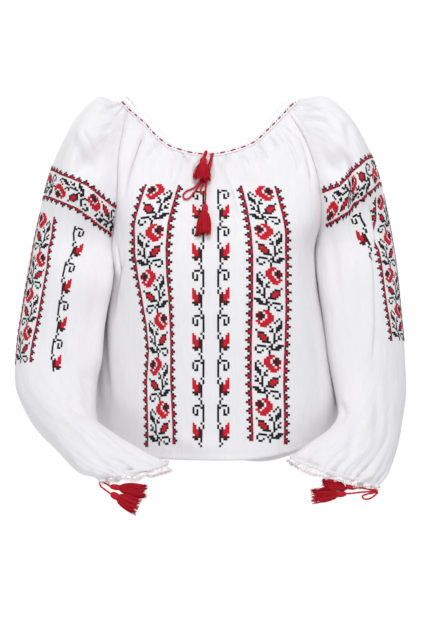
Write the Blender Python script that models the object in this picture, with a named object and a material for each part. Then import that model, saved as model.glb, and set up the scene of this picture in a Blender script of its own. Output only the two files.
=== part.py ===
"""Blouse with gathered raglan sleeves, worn shape, empty. Metres, +Z up, front towards -Y."""
import math
import bpy
import numpy as np

for old in list(bpy.data.objects):
    bpy.data.objects.remove(old, do_unlink=True)

# driving sizes
clothThick = 0.0015
seamGap = 0.0003
bandHeight = 0.008
neckLaceHeight = 0.011
cuffBandHeight = 0.005
cuffLaceHeight = 0.009
cordDiameter = 0.002
openRows = 7
bodyRows = 10
sleeveRows = 14
frontColumns = 30
backColumns = 24
sleeveColumns = 20
fineCount = 161
arcCount = 41
rowsPerPart = 5

# x of the middle of the front, between the two vines; the columns up to clothShare of the way
# to a side keep their distance from it, clothSide at clothShare, once past gatherEnd
centreX = 0.002
clothSide = 0.128
clothShare = 0.62
gatherEnd = 0.45

# how far the cuff's ring leans in and its lace out, and the knot's half length and its widths
cuffLean = 0.0008
laceFlare = 0.0035
knotHalf = 0.0031
knotWide = 0.0052
knotThick = 0.0044

# neck opening, lower edge of the band, front seam to front seam: x, y, z
neckFront = [
    (-0.130, -0.014, -0.015),
    (-0.103, -0.043, -0.041),
    (-0.083, -0.058, -0.0635),
    (-0.053, -0.070, -0.084),
    (0.002, -0.076, -0.094),
    (0.063, -0.064, -0.078),
    (0.094, -0.047, -0.052),
    (0.126, -0.016, -0.017),
]
neckBack = [
    (-0.108, 0.040, -0.038),
    (-0.090, 0.054, -0.056),
    (-0.060, 0.068, -0.073),
    (0.000, 0.076, -0.080),
    (0.060, 0.068, -0.073),
    (0.090, 0.054, -0.056),
    (0.108, 0.040, -0.038),
]

# seams, a row every 0.2 of the way: neckline 0, underarm 1, hem 2
leftFrontSeam = [
    (-0.130, -0.014, -0.015),
    (-0.144, -0.032, -0.052),
    (-0.152, -0.048, -0.095),
    (-0.156, -0.054, -0.142),
    (-0.158, -0.040, -0.190),
    (-0.159, -0.004, -0.234),
]
leftBackSeam = [
    (-0.108, 0.040, -0.038),
    (-0.128, 0.058, -0.072),
    (-0.143, 0.068, -0.112),
    (-0.153, 0.066, -0.155),
    (-0.159, 0.044, -0.200),
    (-0.159, -0.004, -0.234),
]
leftSide = [
    (-0.159, -0.004, -0.234),
    (-0.168, 0.026, -0.296),
    (-0.181, 0.045, -0.360),
    (-0.186, 0.052, -0.426),
    (-0.188, 0.054, -0.494),
    (-0.186, 0.054, -0.562),
]
rightFrontSeam = [
    (0.126, -0.016, -0.017),
    (0.141, -0.033, -0.052),
    (0.152, -0.048, -0.095),
    (0.162, -0.055, -0.142),
    (0.167, -0.042, -0.190),
    (0.168, -0.004, -0.234),
]
rightBackSeam = [
    (0.108, 0.040, -0.038),
    (0.130, 0.058, -0.072),
    (0.147, 0.067, -0.112),
    (0.160, 0.065, -0.155),
    (0.168, 0.044, -0.200),
    (0.168, -0.004, -0.234),
]
rightSide = [
    (0.168, -0.004, -0.234),
    (0.177, 0.026, -0.296),
    (0.193, 0.034, -0.356),
    (0.204, 0.032, -0.416),
    (0.208, 0.024, -0.472),
    (0.200, 0.016, -0.528),
]

# widest line of the panels, same rows: shift along the row, y, z, left and right fullness
frontLine = [
    (0.0, -0.076, -0.094, 1.0, 1.0),
    (0.0, -0.082, -0.122, 1.0, 1.0),
    (0.0, -0.093, -0.150, 1.0, 1.0),
    (0.0, -0.112, -0.180, 1.0, 1.0),
    (0.0, -0.130, -0.210, 1.0, 0.98),
    (0.002, -0.142, -0.240, 1.05, 0.96),
    (0.008, -0.148, -0.301, 1.18, 0.92),
    (0.014, -0.146, -0.365, 1.34, 0.88),
    (0.018, -0.142, -0.430, 1.42, 0.86),
    (0.020, -0.138, -0.497, 1.42, 0.85),
    (0.020, -0.135, -0.561, 1.38, 0.85),
]
backLine = [
    (0.0, 0.076, -0.080, 1.0, 1.0),
    (0.0, 0.086, -0.115, 1.0, 1.0),
    (0.0, 0.096, -0.150, 1.0, 1.0),
    (0.0, 0.103, -0.185, 1.0, 1.0),
    (0.0, 0.106, -0.216, 0.97, 0.97),
    (0.0, 0.106, -0.248, 0.95, 0.95),
    (0.0, 0.105, -0.310, 0.95, 0.95),
    (0.0, 0.106, -0.375, 0.95, 0.95),
    (0.0, 0.110, -0.442, 0.96, 0.96),
    (0.0, 0.114, -0.510, 0.97, 0.97),
    (0.0, 0.116, -0.578, 0.98, 0.98),
]

# sleeve crest from the neck to the underarm level, same rows
leftCrest = [
    (-0.1385, 0.006, -0.006),
    (-0.1745, 0.004, 0.0075),
    (-0.2100, 0.003, -0.0225),
    (-0.2395, 0.002, -0.075),
    (-0.2595, 0.001, -0.132),
    (-0.2745, 0.000, -0.192),
]
rightCrest = [
    (0.1385, 0.006, -0.006),
    (0.180, 0.004, 0.0055),
    (0.2195, 0.003, -0.0215),
    (0.2495, 0.002, -0.0685),
    (0.2715, 0.001, -0.1235),
    (0.2860, 0.000, -0.182),
]
# bulge to the front and to the back of those rows, and how closed the row is
capBulge = [
    (0.000, 0.000, 1.0),
    (0.020, 0.018, 1.0),
    (0.029, 0.024, 1.08),
    (0.036, 0.031, 1.18),
    (0.045, 0.042, 1.36),
    (0.053, 0.053, 1.70),
]
# closed rows to the cuff: inner x y z, outer x y z, front bulge x y z, back bulge x y z
leftArm = [
    (-0.168, -0.022, -0.291, -0.288, 0.000, -0.254, 0.0, -0.054, 0.000, 0.0, 0.054, 0.000),
    (-0.177, -0.026, -0.353, -0.303, 0.000, -0.334, 0.0, -0.054, 0.004, 0.0, 0.054, -0.002),
    (-0.181, -0.030, -0.410, -0.311, -0.004, -0.398, 0.0, -0.053, 0.008, 0.0, 0.054, -0.010),
    (-0.182, -0.044, -0.456, -0.308, -0.016, -0.458, 0.0, -0.050, 0.018, 0.0, 0.048, -0.022),
    (-0.172, -0.072, -0.508, -0.281, -0.046, -0.500, 0.0, -0.040, 0.028, 0.0, 0.036, -0.030),
    (-0.140, -0.112, -0.531, -0.243, -0.090, -0.534, 0.0, -0.032, 0.026, 0.0, 0.030, -0.026),
    (-0.098, -0.152, -0.545, -0.196, -0.138, -0.5745, 0.0, -0.027, 0.012, 0.0, 0.022, -0.014),
    (-0.060, -0.172, -0.555, -0.161, -0.166, -0.571, 0.0, -0.020, -0.004, 0.0, 0.016, -0.001),
]
rightArm = [
    (0.178, -0.028, -0.291, 0.2965, -0.004, -0.250, 0.0, -0.053, 0.000, 0.0, 0.052, 0.000),
    (0.186, -0.038, -0.353, 0.3045, -0.010, -0.330, 0.0, -0.053, 0.004, 0.0, 0.052, -0.002),
    (0.196, -0.046, -0.412, 0.3105, -0.016, -0.398, 0.0, -0.052, 0.008, 0.0, 0.052, -0.010),
    (0.201, -0.058, -0.456, 0.311, -0.026, -0.462, 0.0, -0.049, 0.018, 0.0, 0.046, -0.022),
    (0.200, -0.084, -0.492, 0.3005, -0.054, -0.512, 0.0, -0.040, 0.028, 0.0, 0.036, -0.030),
    (0.184, -0.120, -0.513, 0.288, -0.098, -0.543, 0.0, -0.032, 0.024, 0.0, 0.030, -0.026),
    (0.152, -0.154, -0.530, 0.2695, -0.140, -0.5765, 0.0, -0.027, 0.012, 0.0, 0.022, -0.014),
    (0.121, -0.174, -0.546, 0.249, -0.166, -0.583, 0.0, -0.020, -0.005, 0.0, 0.016, -0.001),
]


def along(rows, t):
    """Smooth curve through evenly spaced rows, at the row numbers t."""
    p = np.asarray(rows, float)
    flat = p.reshape(len(p), -1)
    flat = np.vstack([2 * flat[0] - flat[1], flat, 2 * flat[-1] - flat[-2]])
    t = np.atleast_1d(np.asarray(t, float))
    i = np.clip(np.floor(t).astype(int), 0, len(p) - 2)
    f = (t - i)[:, None]
    a, b, c, d = flat[i], flat[i + 1], flat[i + 2], flat[i + 3]
    got = b + 0.5 * f * ((c - a) + f * ((2 * a - 5 * b + 4 * c - d) + f * (3 * (b - c) + d - a)))
    return got.reshape((len(t),) + p.shape[1:])


def lengths(line):
    """Distance along a polyline at each of its points."""
    steps = np.linalg.norm(np.diff(line, axis=0), axis=1)
    return np.concatenate([[0.0], np.cumsum(steps)])


def at(line, where):
    """Points of a polyline at the given distances."""
    s = lengths(line)
    return np.stack([np.interp(where, s, line[:, k]) for k in range(3)], axis=1)


def bodyRow(left, right, line, back, zPower):
    """One row of a body panel: two rounded quarters from the seams to the widest line."""
    shift, y, z, leftFull, rightFull = line
    chord = right - left
    e1 = np.array([chord[0], chord[1], 0.0]) / math.hypot(chord[0], chord[1])
    e2 = np.array([-e1[1], e1[0], 0.0]) * (1 if back else -1)
    middle = (left + right) / 2 + shift * e1
    out = (y - middle[1]) / e2[1]
    phi = np.linspace(0, math.pi / 2, arcCount)[::-1]
    rows = []
    for end, full, turn in ((left, leftFull, 1), (right, rightFull, -1)):
        half = np.dot(end - middle, e1)
        x = half * np.sin(phi) ** full
        reach = out * np.cos(phi) ** full
        height = z + (end[2] - z) * (1 - np.cos(phi) ** zPower)
        got = middle[None, :2] + x[:, None] * e1[None, :2] + reach[:, None] * e2[None, :2]
        offset = (end - middle)[:2] - half * e1[:2]
        got = got + offset[None, :] * (np.sin(phi) ** 2)[:, None]
        rows.append(np.column_stack([got, height])[::turn])
    return np.vstack([rows[0], rows[1][1:]])


def bodySections(neck, seams, line, back):
    """The key rows of a panel, from the neckline to the hem."""
    left = np.vstack([seams[0], seams[1][1:]])
    right = np.vstack([seams[2], seams[3][1:]])
    rows = []
    for k, values in enumerate(line):
        if k == 0:
            rows.append(along(neck, np.linspace(0, len(neck) - 1, fineCount)))
        else:
            zPower = max(1.1, 2.1 - 0.18 * k)
            rows.append(bodyRow(left[k], right[k], values, back, zPower))
    return rows


def evened(row):
    """The row at evenly spaced points."""
    return at(row, np.linspace(0, lengths(row)[-1], fineCount))


def bodyGrid(neck, seams, line, back, columns, rowsAt):
    """Points of a panel: rows x columns x 3. Columns keep their cloth distance from the middle."""
    sections = bodySections(neck, seams, line, back)
    dense = np.array([evened(r) for r in sections])
    grid = along(dense, np.asarray(rowsAt) * rowsPerPart)
    out = []
    for v, row in zip(rowsAt, grid):
        s = lengths(row)
        mid = np.interp(centreX, row[:, 0], s)
        ease = min(1.0, max(0.0, v / gatherEnd))
        ease = ease * ease * (3 - 2 * ease)
        where = []
        for c in columns:
            reach = mid if c < 0 else s[-1] - mid
            share = abs(c)
            true = clothSide * share / clothShare
            if share > clothShare:
                true = clothSide + (reach - clothSide) * (share - clothShare) / (1 - clothShare)
            gathered = reach * share
            where.append(mid + math.copysign(gathered + (true - gathered) * ease, c))
        out.append(at(row, np.array(where)))
    return np.array(out)


def sleeveGrid(frontSeam, backSeam, crest, arm, columns, rowsAt):
    """Points of a sleeve: open rows over the shoulder, then closed rows down to the cuff."""
    keys = []
    for k in range(6):
        f, b, c = np.array(frontSeam[k]), np.array(backSeam[k]), np.array(crest[k])
        front, behind, power = capBulge[k]
        keys.append((f, b, c, np.array([0, -front, 0]), np.array([0, behind, 0]), power))
    for k, row in enumerate(arm):
        inner = np.array(row[0:3])
        power = 2.0 if k else 1.85
        keys.append((inner, inner, np.array(row[3:6]), np.array(row[6:9]), np.array(row[9:12]), power))
    theta = np.linspace(0, math.pi / 2, arcCount)
    sections = []
    for f, b, c, front, behind, power in keys:
        mid = (f + b) / 2
        halves = []
        for end, bulge in ((f, front), (b, behind)):
            half = mid + np.outer(np.sin(theta) ** power, c - mid)
            half = half + np.outer(np.cos(theta), end - mid) + np.outer(np.sin(2 * theta), bulge)
            halves.append(half)
        sections.append(evened(np.vstack([halves[0], halves[1][::-1][1:]])))
    grid = along(np.array(sections), np.asarray(rowsAt) * rowsPerPart)
    return np.array([at(row, np.asarray(columns) * lengths(row)[-1]) for row in grid])


def keyed(rows, where):
    """Points of a seam at shares of its length."""
    return along(rows, np.asarray(where) * (len(rows) - 1))


def unit(v):
    v = np.asarray(v, float)
    return v / np.maximum(np.linalg.norm(v, axis=-1, keepdims=True), 1e-12)


# rows of the grids
openAt = np.linspace(0, 1, openRows + 1)
bodyAt = np.concatenate([openAt, 1 + np.linspace(0, 1, bodyRows + 1)[1:]])
armAt = np.concatenate([openAt, 1 + np.linspace(0, 1.6, sleeveRows + 1)[1:]])
frontAt = np.linspace(-1, 1, frontColumns + 1)
backAt = np.linspace(-1, 1, backColumns + 1)
aroundAt = np.linspace(0, 1, sleeveColumns + 1)

leftFront = keyed(leftFrontSeam, openAt)
leftBack = keyed(leftBackSeam, openAt)
rightFront = keyed(rightFrontSeam, openAt)
rightBack = keyed(rightBackSeam, openAt)
leftLow = keyed(leftSide, bodyAt[openRows:] - 1)
rightLow = keyed(rightSide, bodyAt[openRows:] - 1)

front = bodyGrid(neckFront, (leftFrontSeam, leftSide, rightFrontSeam, rightSide),
                 frontLine, False, frontAt, bodyAt)
back = bodyGrid(neckBack, (leftBackSeam, leftSide, rightBackSeam, rightSide),
                backLine, True, backAt, bodyAt)
sleeveLeft = sleeveGrid(leftFrontSeam, leftBackSeam, leftCrest, leftArm, aroundAt, armAt)
sleeveRight = sleeveGrid(rightFrontSeam, rightBackSeam, rightCrest, rightArm, aroundAt, armAt)

n = openRows
front[: n + 1, 0], front[n:, 0] = leftFront, leftLow
front[: n + 1, -1], front[n:, -1] = rightFront, rightLow
back[: n + 1, 0], back[n:, 0] = leftBack, leftLow
back[: n + 1, -1], back[n:, -1] = rightBack, rightLow
sleeveLeft[: n + 1, 0], sleeveLeft[: n + 1, -1] = leftFront, leftBack
sleeveRight[: n + 1, 0], sleeveRight[: n + 1, -1] = rightFront, rightBack
sleeveLeft[n:, -1] = sleeveLeft[n:, 0]
sleeveRight[n:, -1] = sleeveRight[n:, 0]

# main folds: piece, column from, row from, column to, row to, half width in columns, depth
folds = [
    ("front", 4, 1, 5, 5, 1.0, -0.0030),
    ("front", 8, 1, 8, 5, 0.9, -0.0030),
    ("front", 11, 1, 11, 4, 0.9, -0.0026),
    ("front", 14, 1, 14, 4, 0.8, -0.0022),
    ("front", 18, 1, 19, 5, 0.9, -0.0032),
    ("front", 22, 1, 22, 5, 0.9, -0.0030),
    ("front", 26, 1, 25, 5, 1.0, -0.0028),
    ("front", 4, 9, 3, 16, 1.2, -0.0040),
    ("front", 26, 8, 27, 15, 1.2, -0.0030),
    ("back", 4, 1, 5, 6, 0.9, -0.0030),
    ("back", 8, 1, 8, 7, 0.9, -0.0034),
    ("back", 12, 1, 12, 8, 0.9, -0.0030),
    ("back", 16, 1, 16, 7, 0.9, -0.0034),
    ("back", 20, 1, 19, 6, 0.9, -0.0030),
    ("back", 6, 9, 5, 16, 1.2, -0.0040),
    ("back", 17, 9, 18, 16, 1.2, -0.0040),
    ("sleeve", 4, 1, 4, 5, 0.9, -0.0030),
    ("sleeve", 10, 1, 10, 5, 0.9, -0.0026),
    ("sleeve", 15, 1, 15, 6, 0.9, -0.0030),
    ("sleeve", 3, 16, 3, 20, 0.9, -0.0034),
    ("sleeve", 7, 15, 7, 20, 0.9, -0.0034),
    ("sleeve", 12, 15, 12, 20, 0.9, -0.0030),
    ("sleeve", 16, 15, 16, 20, 0.9, -0.0030),
]


def normalsOf(grid, wrap):
    """Normals of a grid, pointing to the side where columns x rows down points."""
    if wrap:
        wide = np.concatenate([grid[:, -2:-1], grid, grid[:, 1:2]], axis=1)
        across = (wide[:, 2:] - wide[:, :-2])
    else:
        across = np.gradient(grid, axis=1)
    down = np.gradient(grid, axis=0)
    return unit(np.cross(down, across))


def folded(grid, kind, sign):
    """The grid with its folds pushed in or out; nothing moves on its edges."""
    rows, columns = grid.shape[:2]
    normal = normalsOf(grid, False) * sign
    r, c = np.mgrid[0:rows, 0:columns].astype(float)
    push = np.zeros((rows, columns))
    for piece, c0, r0, c1, r1, width, depth in folds:
        if piece != kind:
            continue
        run = np.clip((r - r0) / (r1 - r0), 0, 1)
        side = (c - (c0 + (c1 - c0) * run)) / width
        ends = np.clip((r - r0 + 1) / 1.5, 0, 1) * np.clip((r1 + 1 - r) / 2.5, 0, 1)
        push = push + depth * np.exp(-side * side) * ends
    push[0] = 0
    push[-1] = 0
    push[:, 0] = 0
    push[:, -1] = 0
    return grid + normal * push[:, :, None]


front = folded(front, "front", 1)
back = folded(back, "back", -1)
sleeveLeft = folded(sleeveLeft, "sleeve", -1)
sleeveRight = folded(sleeveRight, "sleeve", 1)

# rings of the neck and the cuffs
neckRing = np.vstack([front[0], sleeveRight[0][1:], back[0][::-1][1:], sleeveLeft[0][::-1][1:-1]])
inward = unit(np.column_stack([-neckRing[:, 0], -neckRing[:, 1], np.zeros(len(neckRing))]))
lean = 0.30 + 0.55 * np.clip(np.abs(neckRing[:, 0]) / 0.138, 0, 1) ** 2
neckUp = unit(inward * lean[:, None] + np.array([0, 0, 1.0]))
neckTop = neckRing + neckUp * bandHeight
laceUp = unit(inward * (lean * 0.8)[:, None] + np.array([0, 0, 1.0]))
laceTop = neckTop + laceUp * neckLaceHeight


def loopGrid(rings):
    grid = np.array(rings)
    return np.concatenate([grid, grid[:, :1]], axis=1)


def cuffRings(sleeve):
    end = sleeve[-1][:-1]
    middle = end.mean(axis=0)
    out = unit(end - middle)
    first = end + np.array([0, 0, -cuffBandHeight]) - out * cuffLean
    last = first + np.array([0, 0, -cuffLaceHeight]) + out * laceFlare
    return loopGrid([end, first]), loopGrid([first, last])


bandLeft, laceLeft = cuffRings(sleeveLeft)
bandRight, laceRight = cuffRings(sleeveRight)

# name: grid, closed round, which way its normals face, colour
cloth = {
    "front": (front, False, 1),
    "back": (back, False, -1),
    "sleeve_left": (sleeveLeft, True, -1),
    "sleeve_right": (sleeveRight, True, 1),
    "neckband": (loopGrid([neckTop, neckRing]), True, 1),
    "neck_lace": (loopGrid([laceTop, neckTop]), True, 1),
    "cuff_band_left": (bandLeft, True, -1),
    "cuff_lace_left": (laceLeft, True, -1),
    "cuff_band_right": (bandRight, True, 1),
    "cuff_lace_right": (laceRight, True, 1),
}


def materialOf(name, colour, roughness):
    made = bpy.data.materials.new(name)
    made.use_nodes = True
    shade = made.node_tree.nodes["Principled BSDF"]
    shade.inputs["Base Color"].default_value = (*colour, 1)
    shade.inputs["Roughness"].default_value = roughness
    return made


def addMesh(name, points, faces, colour, roughness=0.85, origin=(0, 0, 0)):
    mesh = bpy.data.meshes.new(name)
    moved = [tuple(np.asarray(p) - np.asarray(origin)) for p in points]
    mesh.from_pydata(moved, [], faces)
    mesh.validate()
    made = bpy.data.objects.new(name, mesh)
    made.location = origin
    mesh.materials.append(materialOf(name + "_colour", colour, roughness))
    bpy.context.scene.collection.objects.link(made)
    return made


def key(p):
    return tuple(int(round(v * 1e6)) for v in p)


# one normal for every point that panels share, so that their edges stay parallel
shared = {}
for name, (grid, wrap, sign) in cloth.items():
    a, b = grid[:-1, :-1], grid[:-1, 1:]
    c, d = grid[1:, 1:], grid[1:, :-1]
    faceNormal = np.cross(c - a, b - d) * sign
    for i in range(grid.shape[0] - 1):
        for j in range(grid.shape[1] - 1):
            for p in {key(a[i, j]), key(b[i, j]), key(c[i, j]), key(d[i, j])}:
                shared[p] = shared.get(p, np.zeros(3)) + faceNormal[i, j]


def wallOf(grid, wrap, sign, thick):
    """A closed wall on both sides of a grid, its edges half a seam gap inside."""
    rows, columns = grid.shape[:2]
    normal = np.array([[unit(shared[key(p)]) for p in row] for row in grid])
    closed = wrap and np.allclose(grid[-1, 0], grid[-1, -1])
    inset = np.zeros_like(grid)
    openTo = [not np.allclose(grid[i, 0], grid[i, -1], atol=1e-7) for i in range(rows)]

    def pull(i, j, towards):
        way = towards - grid[i, j]
        way = way - normal[i, j] * np.dot(way, normal[i, j])
        inset[i, j] += unit(way) * seamGap / 2

    for j in range(columns):
        pull(0, j, grid[1, j])
        pull(rows - 1, j, grid[rows - 2, j])
    for i in range(rows):
        if not wrap or openTo[i]:
            pull(i, 0, grid[i, 1])
            pull(i, columns - 1, grid[i, columns - 2])
        elif i and openTo[i - 1]:
            pull(i, 0, (grid[i, 1] + grid[i, columns - 2]) / 2)
    index, points, count = {}, [], 0
    for i in range(rows):
        for j in range(columns):
            if closed and not openTo[i] and j == columns - 1:
                index[i, j] = index[i, 0]
                continue
            index[i, j] = count
            middle = grid[i, j] + inset[i, j]
            points.append(middle + normal[i, j] * thick / 2)
            points.append(middle - normal[i, j] * thick / 2)
            count += 2
    faces = []

    def quad(*corners):
        ring = []
        for v in corners:
            if v not in ring:
                ring.append(v)
        if len(ring) > 2:
            faces.append(ring if sign > 0 else ring[::-1])

    for i in range(rows - 1):
        for j in range(columns - 1):
            a, b, c, d = index[i, j], index[i, j + 1], index[i + 1, j + 1], index[i + 1, j]
            quad(a, d, c, b)
            quad(a + 1, b + 1, c + 1, d + 1)
    for j in range(columns - 1):
        a, b = index[0, j], index[0, j + 1]
        quad(a, b, b + 1, a + 1)
        a, b = index[rows - 1, j], index[rows - 1, j + 1]
        quad(a, a + 1, b + 1, b)
    for i in range(rows - 1):
        if not closed or openTo[i]:
            a, b = index[i, 0], index[i + 1, 0]
            quad(a, a + 1, b + 1)
            quad(a, b + 1, b)
            a, b = index[i, columns - 1], index[i + 1, columns - 1]
            quad(a, b, b + 1)
            quad(a, b + 1, a + 1)
    return points, faces


white = (0.86, 0.86, 0.88)
for name, (grid, wrap, sign) in cloth.items():
    addMesh(name, *wallOf(grid, wrap, sign, clothThick), white)


# free cords: routes of x, z and height above the front panel
redCord = (0.62, 0.02, 0.05)
neckRoutes = {
    "neck_cord_long": [
        (0.0066, -0.0885, 0.0022), (0.0068, -0.0945, 0.0032), (0.0050, -0.1070, 0.0036),
        (0.0020, -0.1190, 0.0036), (0.0004, -0.1290, 0.0042), (-0.0020, -0.1400, 0.0054),
        (-0.0036, -0.1500, 0.0056), (-0.0046, -0.1620, 0.0036), (-0.0054, -0.1716, 0.0040),
    ],
    "neck_cord_tied": [
        (0.0036, -0.0890, 0.0022), (0.0036, -0.0945, 0.0030), (0.0016, -0.1050, 0.0034),
        (-0.0012, -0.1150, 0.0034), (-0.0050, -0.1238, 0.0036),
    ],
    "neck_cord_short": [
        (-0.0092, -0.1240, 0.0036), (-0.0078, -0.1120, 0.0034), (-0.0048, -0.0990, 0.0036),
        (-0.0030, -0.0905, 0.0050), (-0.0044, -0.0890, 0.0072), (-0.0078, -0.0930, 0.0082),
        (-0.0092, -0.0970, 0.0084),
    ],
    "neck_loop_long": [
        (-0.0116, -0.1280, 0.0030), (-0.0160, -0.1365, 0.0028), (-0.0240, -0.1450, 0.0028),
        (-0.0350, -0.1510, 0.0028), (-0.0392, -0.1570, 0.0028), (-0.0372, -0.1630, 0.0028),
        (-0.0310, -0.1625, 0.0028), (-0.0250, -0.1550, 0.0028), (-0.0190, -0.1460, 0.0028),
        (-0.0118, -0.1362, 0.0028), (-0.0090, -0.1312, 0.0030),
    ],
    "neck_loop_short": [
        (-0.0070, -0.1306, 0.0030), (-0.0085, -0.1390, 0.0026), (-0.0120, -0.1460, 0.0026),
        (-0.0118, -0.1510, 0.0026), (-0.0080, -0.1545, 0.0026), (-0.0052, -0.1500, 0.0024),
        (-0.0046, -0.1400, 0.0024), (-0.0050, -0.1306, 0.0030),
    ],
}
neckKnot = (-0.0072, -0.1272, 0.0036)

# cuff cords: x, y, z
cuffRoutes = {
    "cuff_cord_left": [
        (-0.1420, -0.1840, -0.5960), (-0.1500, -0.1800, -0.5898), (-0.1575, -0.1770, -0.5873),
        (-0.1614, -0.1750, -0.5862), (-0.1600, -0.1795, -0.5925), (-0.1500, -0.1850, -0.5995),
        (-0.1400, -0.1870, -0.6060),
    ],
    "cuff_cord_right": [
        (0.2130, -0.1893, -0.5944), (0.2250, -0.1867, -0.5942), (0.2380, -0.1845, -0.5972),
        (0.2472, -0.1790, -0.5980), (0.2410, -0.1890, -0.5992), (0.2260, -0.1918, -0.5998),
        (0.2110, -0.1920, -0.6015), (0.1975, -0.1915, -0.6025),
    ],
    "cuff_loop_right": [
        (0.2496, -0.1812, -0.5985), (0.2450, -0.1865, -0.6012), (0.2340, -0.1905, -0.6028),
        (0.2262, -0.1918, -0.6055), (0.2288, -0.1918, -0.6100), (0.2372, -0.1902, -0.6095),
        (0.2450, -0.1868, -0.6050), (0.2500, -0.1830, -0.6012),
    ],
}


def onFront(x, z, off):
    """A point off the front panel, above the place nearest to x, z."""
    normal = normalsOf(front, False)
    flat = front[:, :, [0, 2]].reshape(-1, 2)
    near = np.argsort(np.sum((flat - (x, z)) ** 2, axis=1))[:8]
    weight = 1 / (np.sum((flat[near] - (x, z)) ** 2, axis=1) + 1e-7)
    weight = weight / weight.sum()
    turn = unit((normal.reshape(-1, 3)[near] * weight[:, None]).sum(axis=0))
    cells = front.reshape(-1, 3)[near]
    here = (cells * weight[:, None]).sum(axis=0)
    point = np.array([x, here[1], z])
    point[1] -= np.dot(point - here, turn) / turn[1]
    return point + turn * off


def smoothRoute(points, step):
    """Evenly spaced points on a smooth curve through the route."""
    line = along(points, np.linspace(0, len(points) - 1, 30 * len(points)))
    total = lengths(line)[-1]
    return at(line, np.linspace(0, total, max(8, int(round(total / step)) + 1)))


def addCord(name, route):
    curve = bpy.data.curves.new(name, "CURVE")
    curve.dimensions = "3D"
    curve.bevel_depth = cordDiameter / 2
    curve.bevel_resolution = 2
    curve.use_fill_caps = True
    spline = curve.splines.new("POLY")
    spline.points.add(len(route) - 1)
    for point, place in zip(spline.points, route):
        point.co = (*place, 1)
    made = bpy.data.objects.new(name, curve)
    curve.materials.append(materialOf(name + "_colour", redCord, 0.8))
    bpy.context.scene.collection.objects.link(made)


def turned(name, start, end, wide, thick, side, profile, sides=12):
    """A closed solid turned about start to end, flattened to wide x thick across side."""
    start, end = np.array(start, float), np.array(end, float)
    axis = unit(end - start)
    across = unit(np.asarray(side, float) - axis * np.dot(side, axis))
    third = np.cross(axis, across)
    points, faces = [start], []
    for t, radius in profile:
        for k in range(sides):
            turn = 2 * math.pi * k / sides
            ring = across * math.cos(turn) * wide / 2 + third * math.sin(turn) * thick / 2
            points.append(start + (end - start) * t + ring * radius)
    points.append(end)
    for k in range(sides):
        faces.append((0, 1 + (k + 1) % sides, 1 + k))
    for i in range(len(profile) - 1):
        for k in range(sides):
            a, b = 1 + i * sides + k, 1 + i * sides + (k + 1) % sides
            faces.append((a, b, b + sides, a + sides))
    last = 1 + (len(profile) - 1) * sides
    for k in range(sides):
        faces.append((len(points) - 1, last + k, last + (k + 1) % sides))
    addMesh(name, points, faces, redCord, 0.8, origin=tuple(start))


tasselProfile = [
    (0.02, 0.14), (0.08, 0.30), (0.18, 0.36), (0.27, 0.30), (0.31, 0.24),
    (0.38, 0.40), (0.60, 0.66), (0.82, 0.88), (0.985, 1.0),
]
knotProfile = [(0.06, 0.4), (0.25, 0.85), (0.5, 1.0), (0.75, 0.85), (0.94, 0.4)]

routes = {}
for name, route in neckRoutes.items():
    routes[name] = smoothRoute([onFront(*place) for place in route], 2.4 * cordDiameter)
for name, route in cuffRoutes.items():
    routes[name] = smoothRoute(route, 2.4 * cordDiameter)
for name, route in routes.items():
    addCord(name, route)

knot = onFront(*neckKnot)
turned("neck_knot", knot - (knotHalf, 0, 0), knot + (knotHalf, 0, 0), knotWide, knotThick,
       (0, 0, 1), knotProfile)

# tassels: the cord and the end of it that they hang on, far end, width, thickness, width's way
tassels = {
    "neck_tassel_upper": ("neck_cord_short", -1, onFront(-0.0098, -0.1352, 0.0128),
                          0.027, 0.009, (1, 0, 0)),
    "neck_tassel_lower": ("neck_cord_long", -1, onFront(-0.0090, -0.2215, 0.0090),
                          0.026, 0.0105, (1, 0, 0)),
    "cuff_tassel_left_a": ("cuff_cord_left", 0, (-0.0920, -0.1880, -0.6000),
                           0.021, 0.010, (0, 0, 1)),
    "cuff_tassel_left_b": ("cuff_cord_left", -1, (-0.1060, -0.1920, -0.6270),
                           0.021, 0.010, (0, 0, 1)),
    "cuff_tassel_right_a": ("cuff_cord_right", 0, (0.1660, -0.1890, -0.5895),
                            0.018, 0.009, (0, 0, 1)),
    "cuff_tassel_right_b": ("cuff_cord_right", -1, (0.1500, -0.1950, -0.6090),
                            0.020, 0.009, (0, 0, 1)),
}
for name, (cord, which, end, wide, thick, side) in tassels.items():
    hung = routes[cord][which]
    start = hung + unit(np.array(end) - hung) * seamGap
    turned(name, start, end, wide, thick, side, tasselProfile)
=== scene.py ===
import math
import bpy
import numpy as np
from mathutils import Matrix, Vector


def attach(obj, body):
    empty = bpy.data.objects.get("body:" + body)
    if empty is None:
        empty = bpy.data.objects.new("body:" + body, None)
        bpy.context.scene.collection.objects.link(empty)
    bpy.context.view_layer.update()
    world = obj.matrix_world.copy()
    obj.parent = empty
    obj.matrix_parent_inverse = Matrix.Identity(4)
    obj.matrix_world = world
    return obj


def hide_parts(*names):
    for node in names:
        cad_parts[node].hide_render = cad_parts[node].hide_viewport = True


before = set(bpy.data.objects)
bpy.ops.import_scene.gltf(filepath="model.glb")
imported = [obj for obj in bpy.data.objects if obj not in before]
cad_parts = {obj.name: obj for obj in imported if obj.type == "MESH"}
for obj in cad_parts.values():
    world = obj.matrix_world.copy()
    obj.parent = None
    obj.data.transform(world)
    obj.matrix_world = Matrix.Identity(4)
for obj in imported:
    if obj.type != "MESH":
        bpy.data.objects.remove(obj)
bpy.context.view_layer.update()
scene = bpy.context.scene

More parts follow.
